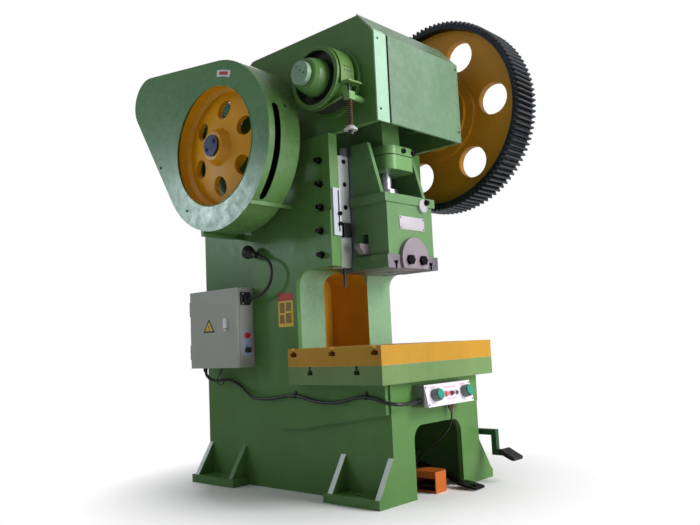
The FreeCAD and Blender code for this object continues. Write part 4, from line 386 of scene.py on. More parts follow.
@dataclass(frozen=True)
class Paint:
    """Machine paint over filler, rubbed at the edges and dusty low down."""

    name: str
    colour: Colour
    rough: float = 0.34
    wear: float = 0.7
    grime: float = 0.35
    under: Colour = (0.62, 0.64, 0.62)
    tint: float = 0.10
    gloss: float = 0.28
    zones: tuple[Zone, ...] = ()

    def build(self) -> bpy.types.Material:
        """Make the material.

        Returns:
            The material.
        """
        material, tree, shader = surface(self.name)
        spot = tree.coords()
        colour, rough, metal = zoned(tree, self.zones, self.colour, self.rough, 0.0)
        deeper, paler = [tree.mix(1.0, colour, (1 + tint, 1 + tint, 1 + tint * 1.3, 1), "MULTIPLY")
                         for tint in (-self.tint, self.tint)]
        colour = tree.mix(tree.ramp(tree.noise(spot, 3.1, 5.0, 0.6), 0.3, 0.7), deeper, paler)
        dust = SHOP_GRIME.use(tree, {"Amount": self.grime})[0]
        colour = tree.mix(tree.times(dust, 0.55), colour, linear((0.17, 0.17, 0.13)))
        rub = EDGE_WEAR.use(tree, {"Amount": self.wear})[0]
        scuff = tree.ramp(tree.noise(spot, 18.0, 6.0, 0.7), 0.35, 0.75, -0.06, 0.10)
        tree.join(shader, {
            "Base Color": tree.mix(rub, colour, linear(self.under)),
            "Roughness": tree.math("ADD", tree.math("ADD", rough, scuff), tree.times(dust, 0.25), True),
            "Metallic": tree.math("MAXIMUM", metal, tree.times(rub, 0.6)),
            "Normal": tree.bump(PAINT_PEEL.use(tree)[0], 0.22, 0.0012),
            "Specular IOR Level": self.gloss})
        return material


@dataclass(frozen=True)
class Steel:
    """Machined steel with tool marks, oil stain and brighter edges."""

    name: str
    colour: Colour
    rough: float = 0.3
    across: Spot = (900.0, 40.0, 40.0)
    stain: float = 0.35
    zones: tuple[Zone, ...] = ()

    def build(self) -> bpy.types.Material:
        """Make the material.

        Returns:
            The material.
        """
        material, tree, shader = surface(self.name)
        lines, stain = TOOL_MARKS.use(tree, dict(zip(TOOL_MARKS.inputs, self.across)))
        colour, rough, metal = zoned(tree, self.zones, self.colour, self.rough, 1.0)
        colour = tree.shade(colour, lines, 0.82, 1.12)
        colour = tree.mix(tree.times(stain, self.stain), colour, linear((0.16, 0.13, 0.10)))
        rub = EDGE_WEAR.use(tree, {"Width": 0.0015})[0]
        tree.join(shader, {
            "Base Color": tree.mix(tree.times(rub, 0.6), colour, linear((0.86, 0.87, 0.88))),
            "Roughness": tree.math("ADD", rough, tree.ramp(lines, 0.25, 0.75, -0.08, 0.12), True),
            "Metallic": metal,
            "Normal": tree.bump(lines, 0.15, 0.0004)})
        return material


@dataclass(frozen=True)
class Moulded:
    """Plastic or rubber with a fine grain and handling marks."""

    name: str
    colour: Colour
    rough: float = 0.4
    grain: float = 0.1
    scale: float = 700.0
    zones: tuple[Zone, ...] = ()

    def build(self) -> bpy.types.Material:
        """Make the material.

        Returns:
            The material.
        """
        material, tree, shader = surface(self.name)
        spot = tree.coords()
        cloud = tree.noise(spot, 24.0, 4.0, 0.6)
        colour = zoned(tree, self.zones, self.colour, self.rough, 0.0)[0]
        tree.join(shader, {
            "Base Color": tree.shade(colour, cloud, 0.84, 1.14),
            "Roughness": tree.ramp(cloud, 0.3, 0.75, self.rough - 0.06, self.rough + 0.12),
            "Normal": tree.bump(tree.noise(spot, self.scale, 2.0), self.grain, 0.0003)})
        return material


@dataclass(frozen=True)
class Lens:
    """Clear or tinted glass with faint ribs."""

    name: str
    colour: Colour

    def build(self) -> bpy.types.Material:
        """Make the material.

        Returns:
            The material.
        """
        material, tree, shader = surface(self.name)
        spot = tree.coords()
        paler = tuple(min(1.0, c * 1.1) for c in self.colour)
        ribs = tree.noise(tree.stretch(spot, (260, 260, 260)), 1.0, 1.0)
        tree.join(shader, {
            "Base Color": tree.mix(tree.noise(spot, 40.0), linear(self.colour), linear(paler)),
            "Roughness": tree.ramp(tree.noise(spot, 60.0, 4.0), 0.35, 0.75, 0.05, 0.22),
            "Transmission Weight": 0.55,
            "IOR": 1.46,
            "Normal": tree.bump(ribs, 0.2, 0.0005)})
        return material


SOLE_GREEN = (0.34, 0.48, 0.30)
# Painted shade standing for the key slot and hex recess on the shaft nut.
NUT_RECESS_SHADE = (0.06, 0.06, 0.12)


class Finish(Enum):
    """Finishes of the press, one for each kind of surface."""

    FRAME = Paint("frame green", (0.315, 0.478, 0.245), zones=(
        # Painted highlight: lighter green on the front faces round the throat.
        BoxZone((-391, 150, 700), (430, 360, 1244), (0.50, 0.64, 0.50), 0.28),
        BoxZone((-197, 343, 607), (197, 660, 1246), (0.82, 0.61, 0.16), 0.45),
        # Painted shade: dark brown inside the arch under the bed.
        BoxZone((-236, -254, 1), (236, 262, 402), (0.12, 0.085, 0.05), 0.7)))
    COVER = Paint("cover green", (0.390, 0.500, 0.400), rough=0.26, wear=0.4, grime=0.15, gloss=0.5, zones=(
        # Painted reflection: pale strip on the left of the cover's front.
        BoxZone((-400, -330, 1980), (-286, -280, 2610), (0.60, 0.74, 0.64), 0.22),
        # Painted shade: dark line along the side of the cover's raised panel.
        BoxZone((-286, -330, 1980), (-277, -260, 2610), (0.14, 0.19, 0.14), 0.5)))
    RAM = Paint("ram green", (0.37, 0.51, 0.335), rough=0.36, zones=(
        BoxZone((-240, 64, 1219), (240, 195, 1950), (0.50, 0.52, 0.53), 0.34, 0.9),))
    ROD = Paint("rod green", (0.40, 0.56, 0.34), wear=0.8)
    TREADLE = Paint("treadle green", (0.120, 0.300, 0.190), wear=0.9, grime=0.6, zones=(
        BoxZone((370, -530, 120), (490, -405, 190), (0.10, 0.11, 0.11), 0.6),))
    GUARD = Paint("guard green", (0.27, 0.485, 0.275), rough=0.26, wear=0.6, grime=0.3, gloss=0.5, zones=(
        # Painted shade: the guard's curved band toned darker than its flat face, though both are one paint.
        BoxZone((-737, -400, 1400), (-515, 2000, 2700), (0.335, 0.475, 0.265), 0.28),))
    TABLE = Paint("table green", (0.41, 0.52, 0.32), wear=0.9)
    BOLSTER = Paint("bolster yellow", (0.70, 0.515, 0.13), rough=0.42, wear=1.2, tint=0.08,
                    under=(0.72, 0.70, 0.66))
    WHEEL = Paint("flywheel orange", (0.870, 0.610, 0.045), rough=0.30, wear=0.3, gloss=0.34, zones=(
        RingZone(*WHEEL_AXIS, 402, 500, (0.26, 0.27, 0.29), 0.35, 0.9),))
    GEAR = Paint("gear orange", (0.80, 0.55, 0.13), rough=0.36, wear=0.6, grime=0.4, zones=(
        RingZone(*CRANK_AXIS, 573, 700, (0.15, 0.165, 0.19), 0.42, 0.7),
        RingZone(*CRANK_AXIS, 612, 700, (0.30, 0.31, 0.33), 0.34, 0.9),
        RingZone(*CRANK_AXIS, 60, 152, (0.50, 0.50, 0.50), 0.35, 0.8)))
    DRUM = Paint("drum green", (0.30, 0.46, 0.22), wear=1.0, grime=0.6, zones=(
        # Painted shade: darker inside face of the drum between hub and rim.
        RingZone(*CRANK_AXIS, 106, 150, (0.12, 0.18, 0.10), 0.6, start=-540, end=-400),))
    BAND = Paint("band green", (0.34, 0.48, 0.23), rough=0.4, wear=1.0, grime=0.5, zones=(
        # Painted shade: dark lower run of the band under the drum.
        BoxZone((-520, -330, 2040), (-430, 330, 2172), (0.15, 0.17, 0.12), 0.6),))
    STEEL = Steel("turned steel", (0.52, 0.53, 0.55), rough=0.26)
    CRANK = Steel("crank steel", (0.50, 0.52, 0.52), rough=0.35, zones=(
        BoxZone((-670, -100, 2150), (-586, 100, 2380), (0.47, 0.61, 0.49), 0.45, 0.1),))
    GIB = Paint("gib steel", (0.70, 0.73, 0.72), rough=0.36, wear=0.3, grime=0.3, gloss=0.5,
                under=(0.8, 0.8, 0.82))
    CLAMP = Paint("clamp grey", (0.52, 0.48, 0.51), rough=0.4, wear=0.5, grime=0.5, gloss=0.4,
                  under=(0.8, 0.8, 0.82))
    SOLE = Steel("sole steel", (0.50, 0.48, 0.51), rough=0.42, across=(60, 60, 500), stain=0.5, zones=(
        BoxZone((-232, -189, 1221), (-228, 200, 1300), SOLE_GREEN, 0.4),
        BoxZone((228, -189, 1221), (232, 200, 1300), SOLE_GREEN, 0.4)))
    BLACK_STEEL = Steel("black oxide", (0.075, 0.078, 0.085), rough=0.42, stain=0.2)
    DULL_STEEL = Steel("oiled steel", (0.27, 0.28, 0.31), rough=0.42)
    BLUE_STEEL = Steel("blued cap", (0.19, 0.22, 0.30), rough=0.40, stain=0.6, zones=(
        # Painted shade: dark patches for the shaft nut's key slot and hex recess.
        BoxZone((-760, 614, 1998), (-730, 640, 2027), NUT_RECESS_SHADE, 0.5, 1.0),
        BoxZone((-760, 683, 1964), (-730, 708, 1986), NUT_RECESS_SHADE, 0.5, 1.0)))
    SPRING = Steel("spring wire", (0.42, 0.33, 0.24), rough=0.4)
    BRONZE = Steel("bush bronze", (0.66, 0.50, 0.28), rough=0.35)
    CABINET = Paint("cabinet grey", (0.65, 0.66, 0.63), rough=0.48, wear=0.25, grime=0.2, tint=0.04)
    PANEL = Paint("panel white", (0.84, 0.82, 0.86), rough=0.4, wear=0.3, grime=0.1, tint=0.03, zones=(
        BoxZone((-230, -366, 400), (230, -280, 600), (0.44, 0.47, 0.40), 0.5),))
    PLATE = Paint("plate aluminium", (0.68, 0.66, 0.69), rough=0.4, wear=0.5, grime=0.25, tint=0.05,
                  gloss=0.4)
    SCALE = Paint("scale white", (0.69, 0.71, 0.75), rough=0.3, wear=0.3, grime=0.1, tint=0.02)
    HOOD = Paint("hood orange", (0.74, 0.38, 0.12), rough=0.36, wear=0.5, grime=0.3)
    MOTOR = Paint("motor green", (0.30, 0.46, 0.36), wear=0.5)
    CUP = Paint("cup white", (0.72, 0.72, 0.68), rough=0.35, wear=0.3, grime=0.7)
    # Partly bare ground steel, partly painted highlight on the ribs' sloped edges.
    BARE_EDGE_HIGHLIGHT = Paint("bare edge highlight", (0.93, 0.97, 0.96), rough=0.4, wear=0.2, grime=0.5, tint=0.12, gloss=0.6)
    BLACK = Moulded("black plastic", (0.045, 0.047, 0.050), rough=0.5, grain=0.25)
    RUBBER = Moulded("belt rubber", (0.055, 0.055, 0.055), rough=0.7, grain=0.25, scale=400.0)
    HOSE = Moulded("hose black", (0.055, 0.062, 0.056), rough=0.42, grain=0.25, scale=300.0)
    GLAND = Moulded("gland brown", (0.36, 0.30, 0.24), rough=0.5, grain=0.25)
    RED = Moulded("lens red", (0.72, 0.10, 0.14), rough=0.2, zones=(
        BoxZone((-62, -420, 480), (-8, -330, 570), (0.88, 0.36, 0.38), 0.2),))
    PINK = Moulded("lens pink", (0.86, 0.38, 0.40), rough=0.22)
    DARK_RED = Moulded("button red", (0.45, 0.05, 0.10), rough=0.3)
    DARK_CAP = Moulded("button dark", (0.18, 0.19, 0.22), rough=0.35)
    TEAL = Moulded("cap teal", (0.11, 0.52, 0.44), rough=0.3)
    COLLAR = Moulded("collar grey", (0.42, 0.43, 0.44), grain=0.15)
    LATCH = Moulded("latch white", (0.90, 0.91, 0.90), zones=(
        BoxZone((-560, 800, 935), (-520, 870, 942), (0.44, 0.45, 0.42), 0.5),))
    GLASS = Lens("lamp glass", (0.92, 0.94, 0.93))
    YELLOW_MARK = Moulded("mark yellow", (0.86, 0.70, 0.12))
    RED_MARK = Moulded("mark red", (0.68, 0.12, 0.10))
    BLACK_PRINT_AND_HOLE_SHADE = Moulded("black print and hole shade", (0.05, 0.05, 0.05), rough=0.45)
    # Black for print, and painted shade in holes and slots.
    PINK_MARK = Moulded("mark pink", (0.84, 0.62, 0.70))
    WHITE_MARK = Moulded("mark white", (0.86, 0.86, 0.86))
    BLUE_MARK = Moulded("mark blue", (0.62, 0.68, 0.80))
    BROWN_MARK = Moulded("mark brown", (0.50, 0.38, 0.07), rough=0.45)

    @property
    def material(self) -> bpy.types.Material:
        """The finish's material, made on first use."""
        return bpy.data.materials.get(self.value.name) or self.value.build()


NODE_FINISH: dict[Finish, str] = {
    Finish.FRAME: "frame_weldment guard_struts motor_bracket",
    Finish.COVER: "head_cover",
    Finish.RAM: "ram",
    Finish.ROD: "connecting_rod brake_anchor",
    Finish.TREADLE: "side_treadle treadle_pins",
    Finish.GUARD: "belt_guard",
    Finish.TABLE: "bed_table",
    Finish.BOLSTER: "bolster_plate",
    Finish.WHEEL: "flywheel",
    Finish.GEAR: "big_gear",
    Finish.DRUM: "brake_drum",
    Finish.BAND: "brake_band",
    Finish.STEEL: "adjusting_screw ball_seat_ring drive_shaft",
    Finish.CRANK: "crankshaft",
    Finish.GIB: "gibs",
    Finish.CLAMP: "shank_clamp knockout_bar",
    Finish.SOLE: "ram_sole",
    Finish.SCALE: "scale_plate",
    Finish.BLACK_STEEL: "clamp_bolts adjusting_bolts arch_lever foot_pedal",
    Finish.DULL_STEEL: "clutch_collar pinion stop_block ejector_rod brake_rod motor_pulley",
    Finish.BLUE_STEEL: "shaft_nut",
    Finish.SPRING: "brake_spring",
    Finish.CUP: "spring_cup",
    Finish.BRONZE: "shaft_bushes",
    Finish.MOTOR: "motor",
    Finish.CABINET: "cabinet cabinet_door",
    Finish.PANEL: "control_box",
    Finish.BLACK: "cabinet_switch lamp_gooseneck lamp_head cable_clips",
    Finish.LATCH: "door_latch",
    Finish.HOSE: "side_conduit foot_cable",
    Finish.RUBBER: "drive_belts",
    Finish.RED: "signal_lamps",
    Finish.TEAL: "palm_button_left palm_button_right",
    Finish.COLLAR: "palm_rings",
    Finish.DARK_RED: "stop_button",
    Finish.DARK_CAP: "start_button",
    Finish.GLAND: "cable_gland",
    Finish.HOOD: "foot_switch",
    Finish.GLASS: "lamp_lens",
}


def dress_nodes(nodes: dict[str, bpy.types.Object]) -> None:
    """Give every carried-over solid its finish.

    Args:
        nodes: The frame's solids by name.
    """
    for finish, names in NODE_FINISH.items():
        for name in names.split():
            mesh = nodes[name].data
            mesh.materials.clear()
            mesh.materials.append(finish.material)
    LOG.info("dressed %d solids", len(nodes))


# ------------------------------------------------------------------ mesh making
def show(item: bpy.types.Object) -> bpy.types.Object:
    """Put an object in the scene."""
    bpy.context.scene.collection.objects.link(item)
    return item


def place(name: str, mesh: bpy.types.Mesh, finish: Finish, body: str = "press_frame",
          smooth: float = 40.0) -> None:
    """Put a finished mesh in the scene on its body.

    Args:
        name: Piece name.
        mesh: Its mesh, in metres in the press's frame.
        finish: Its finish.
        body: The body that carries it.
        smooth: Angle in degrees under which edges are shaded smooth.
    """
    mesh.name = name
    mesh.materials.clear()
    mesh.materials.append(finish.material)
    mesh.shade_smooth()
    mesh.set_sharp_from_angle(angle=math.radians(smooth))
    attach(show(bpy.data.objects.new(name, mesh)), body)
    LOG.info("%s: %d faces on %s", name, len(mesh.polygons), body)


class Former:
    """Collects simple forms into one mesh."""

    def __init__(self) -> None:
        """Start empty."""
        self.work = bmesh.new()

    def mesh(self, bevel: float = 0.0) -> bpy.types.Mesh:
        """Finish the mesh.

        Args:
            bevel: Width in millimetres that its outer edges are broken by.

        Returns:
            The mesh.
        """
        work = self.work
        if bevel:
            edges = [e for e in work.edges if len(e.link_faces) == 2 and e.calc_face_angle() > 0.6]
            bmesh.ops.bevel(work, geom=edges, offset=bevel / 1000, segments=2, affect="EDGES", profile=0.5)
        bmesh.ops.recalc_face_normals(work, faces=work.faces)
        mesh = bpy.data.meshes.new("form")
        work.to_mesh(mesh)
        work.free()
        return mesh

    def block(self, low: Spot, high: Spot) -> "Former":
        """Add a rectangular block.

        Args:
            low: One corner, in millimetres from the ram line.
            high: The corner across from it.

        Returns:
            This former.
        """
        a, b = at(*low), at(*high)
        for vert in bmesh.ops.create_cube(self.work, size=1.0)["verts"]:
            vert.co = vert.co * (b - a) + (a + b) / 2
        return self

    def ring(self, spots: Iterable[Vector]) -> list[bmesh.types.BMVert]:
        """Corners at some places."""
        return [self.work.verts.new(spot) for spot in spots]

    def band(self, low: list[bmesh.types.BMVert], high: list[bmesh.types.BMVert]) -> None:
        """Join two rings of corners by four-sided faces."""
        for corners in zip(low, low[1:] + low[:1], high[1:] + high[:1], high):
            self.work.faces.new(corners)

    def turned(self, start: Vector, way: Vector, outline: Iterable[Pair], sides: int = 32) -> "Former":
        """Add a turned form.

        Args:
            start: Place of the first end, in metres.
            way: Direction of its axis.
            outline: (place along the axis, radius) pairs in millimetres.
            sides: Facets round the form.

        Returns:
            This former.
        """
        turn = way.normalized().to_track_quat("Z", "Y").to_matrix()
        angles = [math.tau * k / sides for k in range(sides)]
        rings = []
        for along, radius in outline:
            spots = [Vector((radius * math.cos(a), radius * math.sin(a), along)) / 1000 for a in angles]
            rings.append(self.ring(start + turn @ spot for spot in spots))
        for low, high in zip(rings, rings[1:]):
            self.band(low, high)
        self.work.faces.new(rings[0][::-1])
        self.work.faces.new(rings[-1])
        return self

    def hexagon(self, start: Vector, way: Vector, across: float, thick: float) -> "Former":
        """Add a chamfered hexagon head that stands on a place."""
        radius = across / 2 / math.cos(math.pi / 6)
        return self.turned(start, way, [(0, radius), (thick * 0.8, radius), (thick, radius * 0.84)], 6)

    def plate(self, corners: Sequence[Vector], thick: Vector) -> "Former":
        """Add a flat plate.

        Args:
            corners: Its corners in order, in metres.
            thick: Direction and thickness, in metres.

        Returns:
            This former.
        """
        low, high = self.ring(corners), self.ring(corner + thick for corner in corners)
        self.work.faces.new(low[::-1])
        self.band(low, high)
        self.work.faces.new(high)
        return self


def slab(name: str, low: Spot, high: Spot, finish: Finish, bevel: float = 0.0,
         body: str = "press_frame") -> None:
    """Place a rectangular block between two corners in millimetres from the ram line."""
    place(name, Former().block(low, high).mesh(bevel), finish, body)


PANEL_CENTRE = (-381, 528.5)  # y and z of the middle of the panel's face
PANEL_TILT = math.atan(26 / 113)  # it leans back 26 mm over its 113 mm
PANEL_WAY = Vector((0, -math.cos(PANEL_TILT), math.sin(PANEL_TILT)))


def panel_spot(x: float, up: float) -> Vector:
    """Place on the tilted control panel, along it and up its slope, in millimetres."""
    y, z = PANEL_CENTRE
    return at(x, y + up * math.sin(PANEL_TILT), z + up * math.cos(PANEL_TILT))


# ------------------------------------------------------------------ repeated pieces
def scatter_tree() -> bpy.types.NodeTree:
    """Make or find the geometry tree that sets one small form on every point and gives it a finish.

    Returns:
        The node tree.
    """
    made = bpy.data.node_groups.get("set on spots")
    if made:
        return made
    made = bpy.data.node_groups.new("set on spots", "GeometryNodeTree")
    for label, kind in (("Geometry", "Geometry"), ("Form", "Object"), ("Size", "Float"), ("Turn", "Float"),
                        ("Finish", "Material")):
        made.interface.new_socket(label, in_out="INPUT", socket_type="NodeSocket" + kind)
    made.interface.new_socket("Geometry", in_out="OUTPUT", socket_type="NodeSocketGeometry")
    tree = Tree(made)
    source = tree.add("NodeGroupInput").outputs
    form = tree.add("GeometryNodeObjectInfo", {"Object": source["Form"]}).outputs["Geometry"]
    facing = tree.add("GeometryNodeInputNamedAttribute", {"Name": "facing"}, data_type="FLOAT_VECTOR")
    align = tree.add("FunctionNodeAlignRotationToVector", {"Vector": facing.outputs[0]}, axis="Z").outputs[0]
    chance = tree.add("FunctionNodeRandomValue", {"Seed": 7, 3: source["Turn"]}, data_type="FLOAT")
    spin = tree.add("ShaderNodeCombineXYZ", {2: chance.outputs[1]}).outputs[0]
    turn = tree.add("FunctionNodeRotateRotation", {0: align, 1: spin}, rotation_space="LOCAL").outputs[0]
    points = tree.add("GeometryNodeInstanceOnPoints", {
        "Points": source["Geometry"], "Instance": form, "Rotation": turn, "Scale": source["Size"]}).outputs[0]
    real = tree.add("GeometryNodeRealizeInstances", {0: points}).outputs[0]
    paint = tree.add("GeometryNodeSetMaterial", {"Geometry": real, "Material": source["Finish"]}).outputs[0]
    tree.add("NodeGroupOutput", {0: paint})
    return made


def taken(item: bpy.types.Object) -> bpy.types.Mesh:
    """Take the evaluated mesh of an object and remove the object.

    Args:
        item: The object.

    Returns:
        Its mesh.
    """
    depth = bpy.context.evaluated_depsgraph_get()
    mesh = bpy.data.meshes.new_from_object(item.evaluated_get(depth))
    bpy.data.objects.remove(item)
    return mesh


def scatter(name: str, spots: Sequence[Facing], form: bpy.types.Mesh, finish: Finish,
            body: str = "press_frame", turn: float = 0.0) -> None:
    """Set a small form on many spots.

    Args:
        name: Piece name.
        spots: Places and the directions that the form's Z points in.
        form: The form's mesh, about its own origin.
        finish: Finish of all of them.
        body: Body that carries them.
        turn: Largest random turn about the form's axis, in radians.
    """
    cloud = bpy.data.meshes.new("spots")
    cloud.from_pydata([spot for spot, _way in spots], [], [])
    facing = cloud.attributes.new("facing", "FLOAT_VECTOR", "POINT")
    for k, (_spot, way) in enumerate(spots):
        facing.data[k].vector = way
    carrier = show(bpy.data.objects.new("carrier", cloud))
    small = show(bpy.data.objects.new("small_form", form))
    modifier = carrier.modifiers.new("set", "NODES")
    modifier.node_group = scatter_tree()
    settings = {"Form": small, "Size": 1.0, "Turn": turn, "Finish": finish.material}
    for item in modifier.node_group.interface.items_tree:
        if item.name in settings:
            modifier[item.identifier] = settings[item.name]
    place(name, taken(carrier), finish, body)
    bpy.data.objects.remove(small)


def pan_head(radius: float, tall: float, slot: bool = True) -> bpy.types.Mesh:
    """Make a small round screw or rivet head about its own origin.

    Args:
        radius: Its radius in millimetres.
        tall: Its height in millimetres.
        slot: Whether it has a drive recess.

    Returns:
        The mesh.
    """
    rim = [(-0.4, radius), (tall * 0.5, radius), (tall * 0.9, radius * 0.75), (tall, radius * 0.45)]
    if slot:
        rim += [(tall, radius * 0.42), (tall * 0.3, radius * 0.38)]
    return Former().turned(ORIGIN, UP, rim, 16).mesh()


def socket_head(radius: float, tall: float) -> bpy.types.Mesh:
    """Mesh of a cap screw head with its socket, about its own origin, from sizes in millimetres."""
    rim = [(-0.4, radius), (tall - 1, radius), (tall, radius - 1)]
    return Former().turned(ORIGIN, UP, rim + [(tall, radius * 0.62), (tall * 0.4, radius * 0.55)], 24).mesh()


# ------------------------------------------------------------------ cable and hose
# Routes are in millimetres from the ram line. Diameters and lengths of lines are in metres.
def draw_line(name: str, route: Sequence[Spot], diameter: float, finish: Finish) -> bpy.types.Object:
    """Draw one smooth round line.

    Args:
        name: Piece name.
        route: Spots of its control points, in millimetres from the ram line.
        diameter: Diameter in metres; 0 draws the bare path.
        finish: Its finish.

    Returns:
        The new curve object.
    """
    curve = bpy.data.curves.new(name, "CURVE")
    curve.dimensions = "3D"
    curve.bevel_depth = diameter / 2
    curve.bevel_resolution = 4
    spline = curve.splines.new("NURBS")
    spline.points.add(len(route) - 1)
    for point, spot in zip(spline.points, route):
        point.co = (*at(*spot), 1.0)
    spline.order_u = 3
    spline.use_endpoint_u = True
    spline.resolution_u = 8
    curve.materials.append(finish.material)
    return show(bpy.data.objects.new(name, curve))


def steps_along(route: Sequence[Spot], step: float) -> list[Facing]:
    """Step along the smooth line of a route.

    Args:
        route: Its control points, as draw_line takes them.
        step: Length of a step in metres.

    Returns:
        Places, in metres, and directions.
    """
    path = [vert.co.copy() for vert in taken(draw_line("path", route, 0.0, Finish.HOSE)).vertices]
    spots, left = [], step / 2
    for first, second in zip(path, path[1:]):
        way = second - first
        reach = way.length
        while left < reach:
            spots.append((first + way * (left / reach), way.normalized()))
            left += step
        left -= reach
    return spots


@dataclass
class SwitchCable:
    """Thin cable that hangs from the control box's gland to the foot switch."""

    route: Sequence[Spot] = (
        (80, -330, 424), (80, -330, 390), (78, -318, 346), (72, -284, 302), (62, -236, 262),
        (52, -182, 224), (44, -132, 180), (38, -92, 128), (33, -74, 72), (24, -88, 24), (10, -114, 13),
        (10, -137, 13))
    diameter: float = 0.010
    length: float = 0.557

    def build(self) -> None:
        piece = draw_line("switch_cable", self.route, self.diameter, Finish.HOSE)
        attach(piece, "press_frame")
        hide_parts("foot_cable")
        LOG.info("switch cable with %d points", len(self.route))


@dataclass
class ConduitHose:
    """Black hose from under the cabinet along the side to the control box."""

    route: Sequence[Spot] = (
        (-470, 1150, 705), (-470, 1150, 670), (-463, 1128, 638), (-450, 1084, 622), (-434, 1030, 626),
        (-418, 968, 628), (-408, 905, 600), (-410, 846, 564), (-424, 786, 536), (-434, 728, 522),
        (-437, 640, 517), (-436, 560, 521), (-433, 480, 532), (-430, 413, 540), (-430, 345, 538),
        (-434, 270, 522), (-437, 190, 509), (-437, 100, 505), (-436, 20, 511), (-433, -60, 529),
        (-430, -122, 541), (-430, -188, 539), (-434, -246, 526), (-433, -302, 512), (-400, -344, 504),
        (-340, -346, 500), (-272, -340, 502), (-209, -340, 502))
    diameter: float = 0.018
    collar: Pairs = ((0, 15), (9, 15), (11, 13), (24, 13), (26, 10.5))

    def build(self) -> None:
        """Draw the hose and the collars at its two ends."""
        piece = draw_line("conduit_hose", self.route, self.diameter, Finish.HOSE)
        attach(piece, "press_frame")
        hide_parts("side_conduit")
        collars = Former()
        for spot, way in ((self.route[0], -UP), (self.route[-1], LEFT)):
            collars.turned(at(*spot), way, self.collar, 24)
        place("hose_collars", collars.mesh(), Finish.BLACK)


@dataclass
class CabinetLoop:
    """Short loop of spare cable under the cabinet."""

    route: Sequence[Spot] = (
        (-470, 981, 707), (-470, 984, 690), (-470, 1010, 664), (-470, 1034, 640), (-470, 1031, 606),
        (-470, 1004, 596), (-470, 972, 606), (-470, 966, 630), (-470, 985, 643), (-468, 1008, 632),
        (-462, 1020, 628))
    diameter: float = 0.008

    def build(self) -> None:
        """Draw the loop, from the cabinet's floor to the hose that it is tied to."""
        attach(draw_line("cabinet_loop", self.route, self.diameter, Finish.HOSE), "press_frame")


@dataclass
class LampNeck:
    """Wound rings of the work lamp's gooseneck and the socket that it stands on."""

    route: Sequence[Spot] = (
        (-475, 701, 1112), (-475, 656, 1112), (-473, 604, 1124), (-474, 556, 1142), (-476, 516, 1168),
        (-478, 488, 1208), (-478, 478, 1256), (-476, 492, 1300), (-474, 528, 1330), (-473, 572, 1348),
        (-474, 612, 1362))
    pitch: float = 5.2
    ring: Pairs = ((-2.2, 7.4), (-1.2, 8.8), (1.2, 8.8), (2.2, 7.4))
    socket_low: Spot = (-514, 726, 1075)
    socket_high: Spot = (-438, 735, 1153)
    screws: Pairs = ((-464, 1132), (-495, 1087), (-495, 1143))

    def build(self) -> None:
        """Set the rings along the neck and add the socket with its screws."""
        ring = Former().turned(ORIGIN, UP, self.ring, 16)
        scatter("neck_rings", steps_along(self.route, self.pitch / 1000), ring.mesh(), Finish.BLACK)
        slab("lamp_socket", self.socket_low, self.socket_high, Finish.BLACK, 2.0)
        spots = on_front(self.socket_low[1], self.screws)
        scatter("socket_screws", spots, pan_head(4.5, 2.0), Finish.WHITE_MARK)


# ------------------------------------------------------------------ trim
# Sizes and places are in millimetres from the ram line. An outline's pairs are (along the axis, radius).
@dataclass
class HeadTrim:
    """Screws of the head cover."""

    screws: Pairs = ((-357, 2053), (-357, 2444), (365, 2053), (365, 2444))
    radius: float = 7.0
    left_face: float = -298.0
    right_face: float = -305.0

    def build(self) -> None:
        """Set the screws on the cover's face."""
        spots = [(at(x, self.right_face if x > 0 else self.left_face, z), FRONT) for x, z in self.screws]
        scatter("cover_screws", spots, pan_head(self.radius, 3.5), Finish.BLACK_STEEL, turn=6.0)


@dataclass
class RamTrim:
    """Bare nameplate, indicator disc, gib screws and block bolts of the ram, and the scale's knobs."""

    plate_low: Spot = (-103, -184, 1443)
    plate_high: Spot = (124, -180, 1519)
    rivet_inset: float = 10.0
    gib_face: float = 90.0
    gib_lines: Pair = (-250, 250)
    gib_heights: Sequence[float] = (1591, 1724, 1857)
    disc: Spot = (112, -181, 1593)
    disc_outline: Pairs = ((0, 40), (13, 40), (16, 37), (16, 31), (14, 30))
    disc_bolt: Spot = (139, -199, 1613)
    washer_outline: Pairs = ((0, 19), (4, 19), (4, 12))
    block_face: float = -152.0
    block_bolts: Pairs = ((1, 1910), (94, 1910))
    scale_face: float = 30.0
    scale_knobs: Pairs = ((-365, 1478), (-365, 1536))
    scale_slots: Pairs = ((1552, 1668), (1440, 1456))

    def build(self) -> None:
        """Make the small pieces that ride on the ram and the guides."""
        slab("nameplate", self.plate_low, self.plate_high, Finish.PLATE, 0.8, "slide")
        (x1, face, z1), (x2, _back, z2) = self.plate_low, self.plate_high
        inset = self.rivet_inset
        spots = on_front(face, [(x, z) for x in (x1 + inset, x2 - inset) for z in (z1 + inset, z2 - inset)])
        scatter("nameplate_rivets", spots, pan_head(4.5, 2.5, False), Finish.BLACK_STEEL, "slide")
        disc = Former().turned(at(*self.disc), FRONT, self.disc_outline, 48)
        place("indicator_disc", disc.mesh(), Finish.PLATE, "slide")
        x, y, z = self.disc_bolt
        bolt = Former().hexagon(at(x, y, z), FRONT, 26, 15)
        bolt.turned(at(x, y + 4, z), FRONT, self.washer_outline, 32)
        place("indicator_bolt", bolt.mesh(0.5), Finish.BLACK_STEEL, "slide")
        spots = on_front(self.gib_face, [(x, z) for x in self.gib_lines for z in self.gib_heights])
        scatter("gib_screws", spots, socket_head(13.5, 7), Finish.BLACK_STEEL, turn=1.0)
        spots = on_front(self.block_face, self.block_bolts)
        scatter("block_bolts", spots, socket_head(15, 14), Finish.BLACK_STEEL, "slide")
        spots = on_front(self.scale_face, self.scale_knobs)
        scatter("scale_knobs", spots, socket_head(12, 14), Finish.BLACK_STEEL)
        # Black strips for the scale's slots: painted shade.
        slot = Former()
        for low, high in self.scale_slots:
            slot.block((-369, self.scale_face - 0.5, low), (-361, self.scale_face, high))
        place("scale_slot", slot.mesh(), Finish.BLACK_PRINT_AND_HOLE_SHADE)


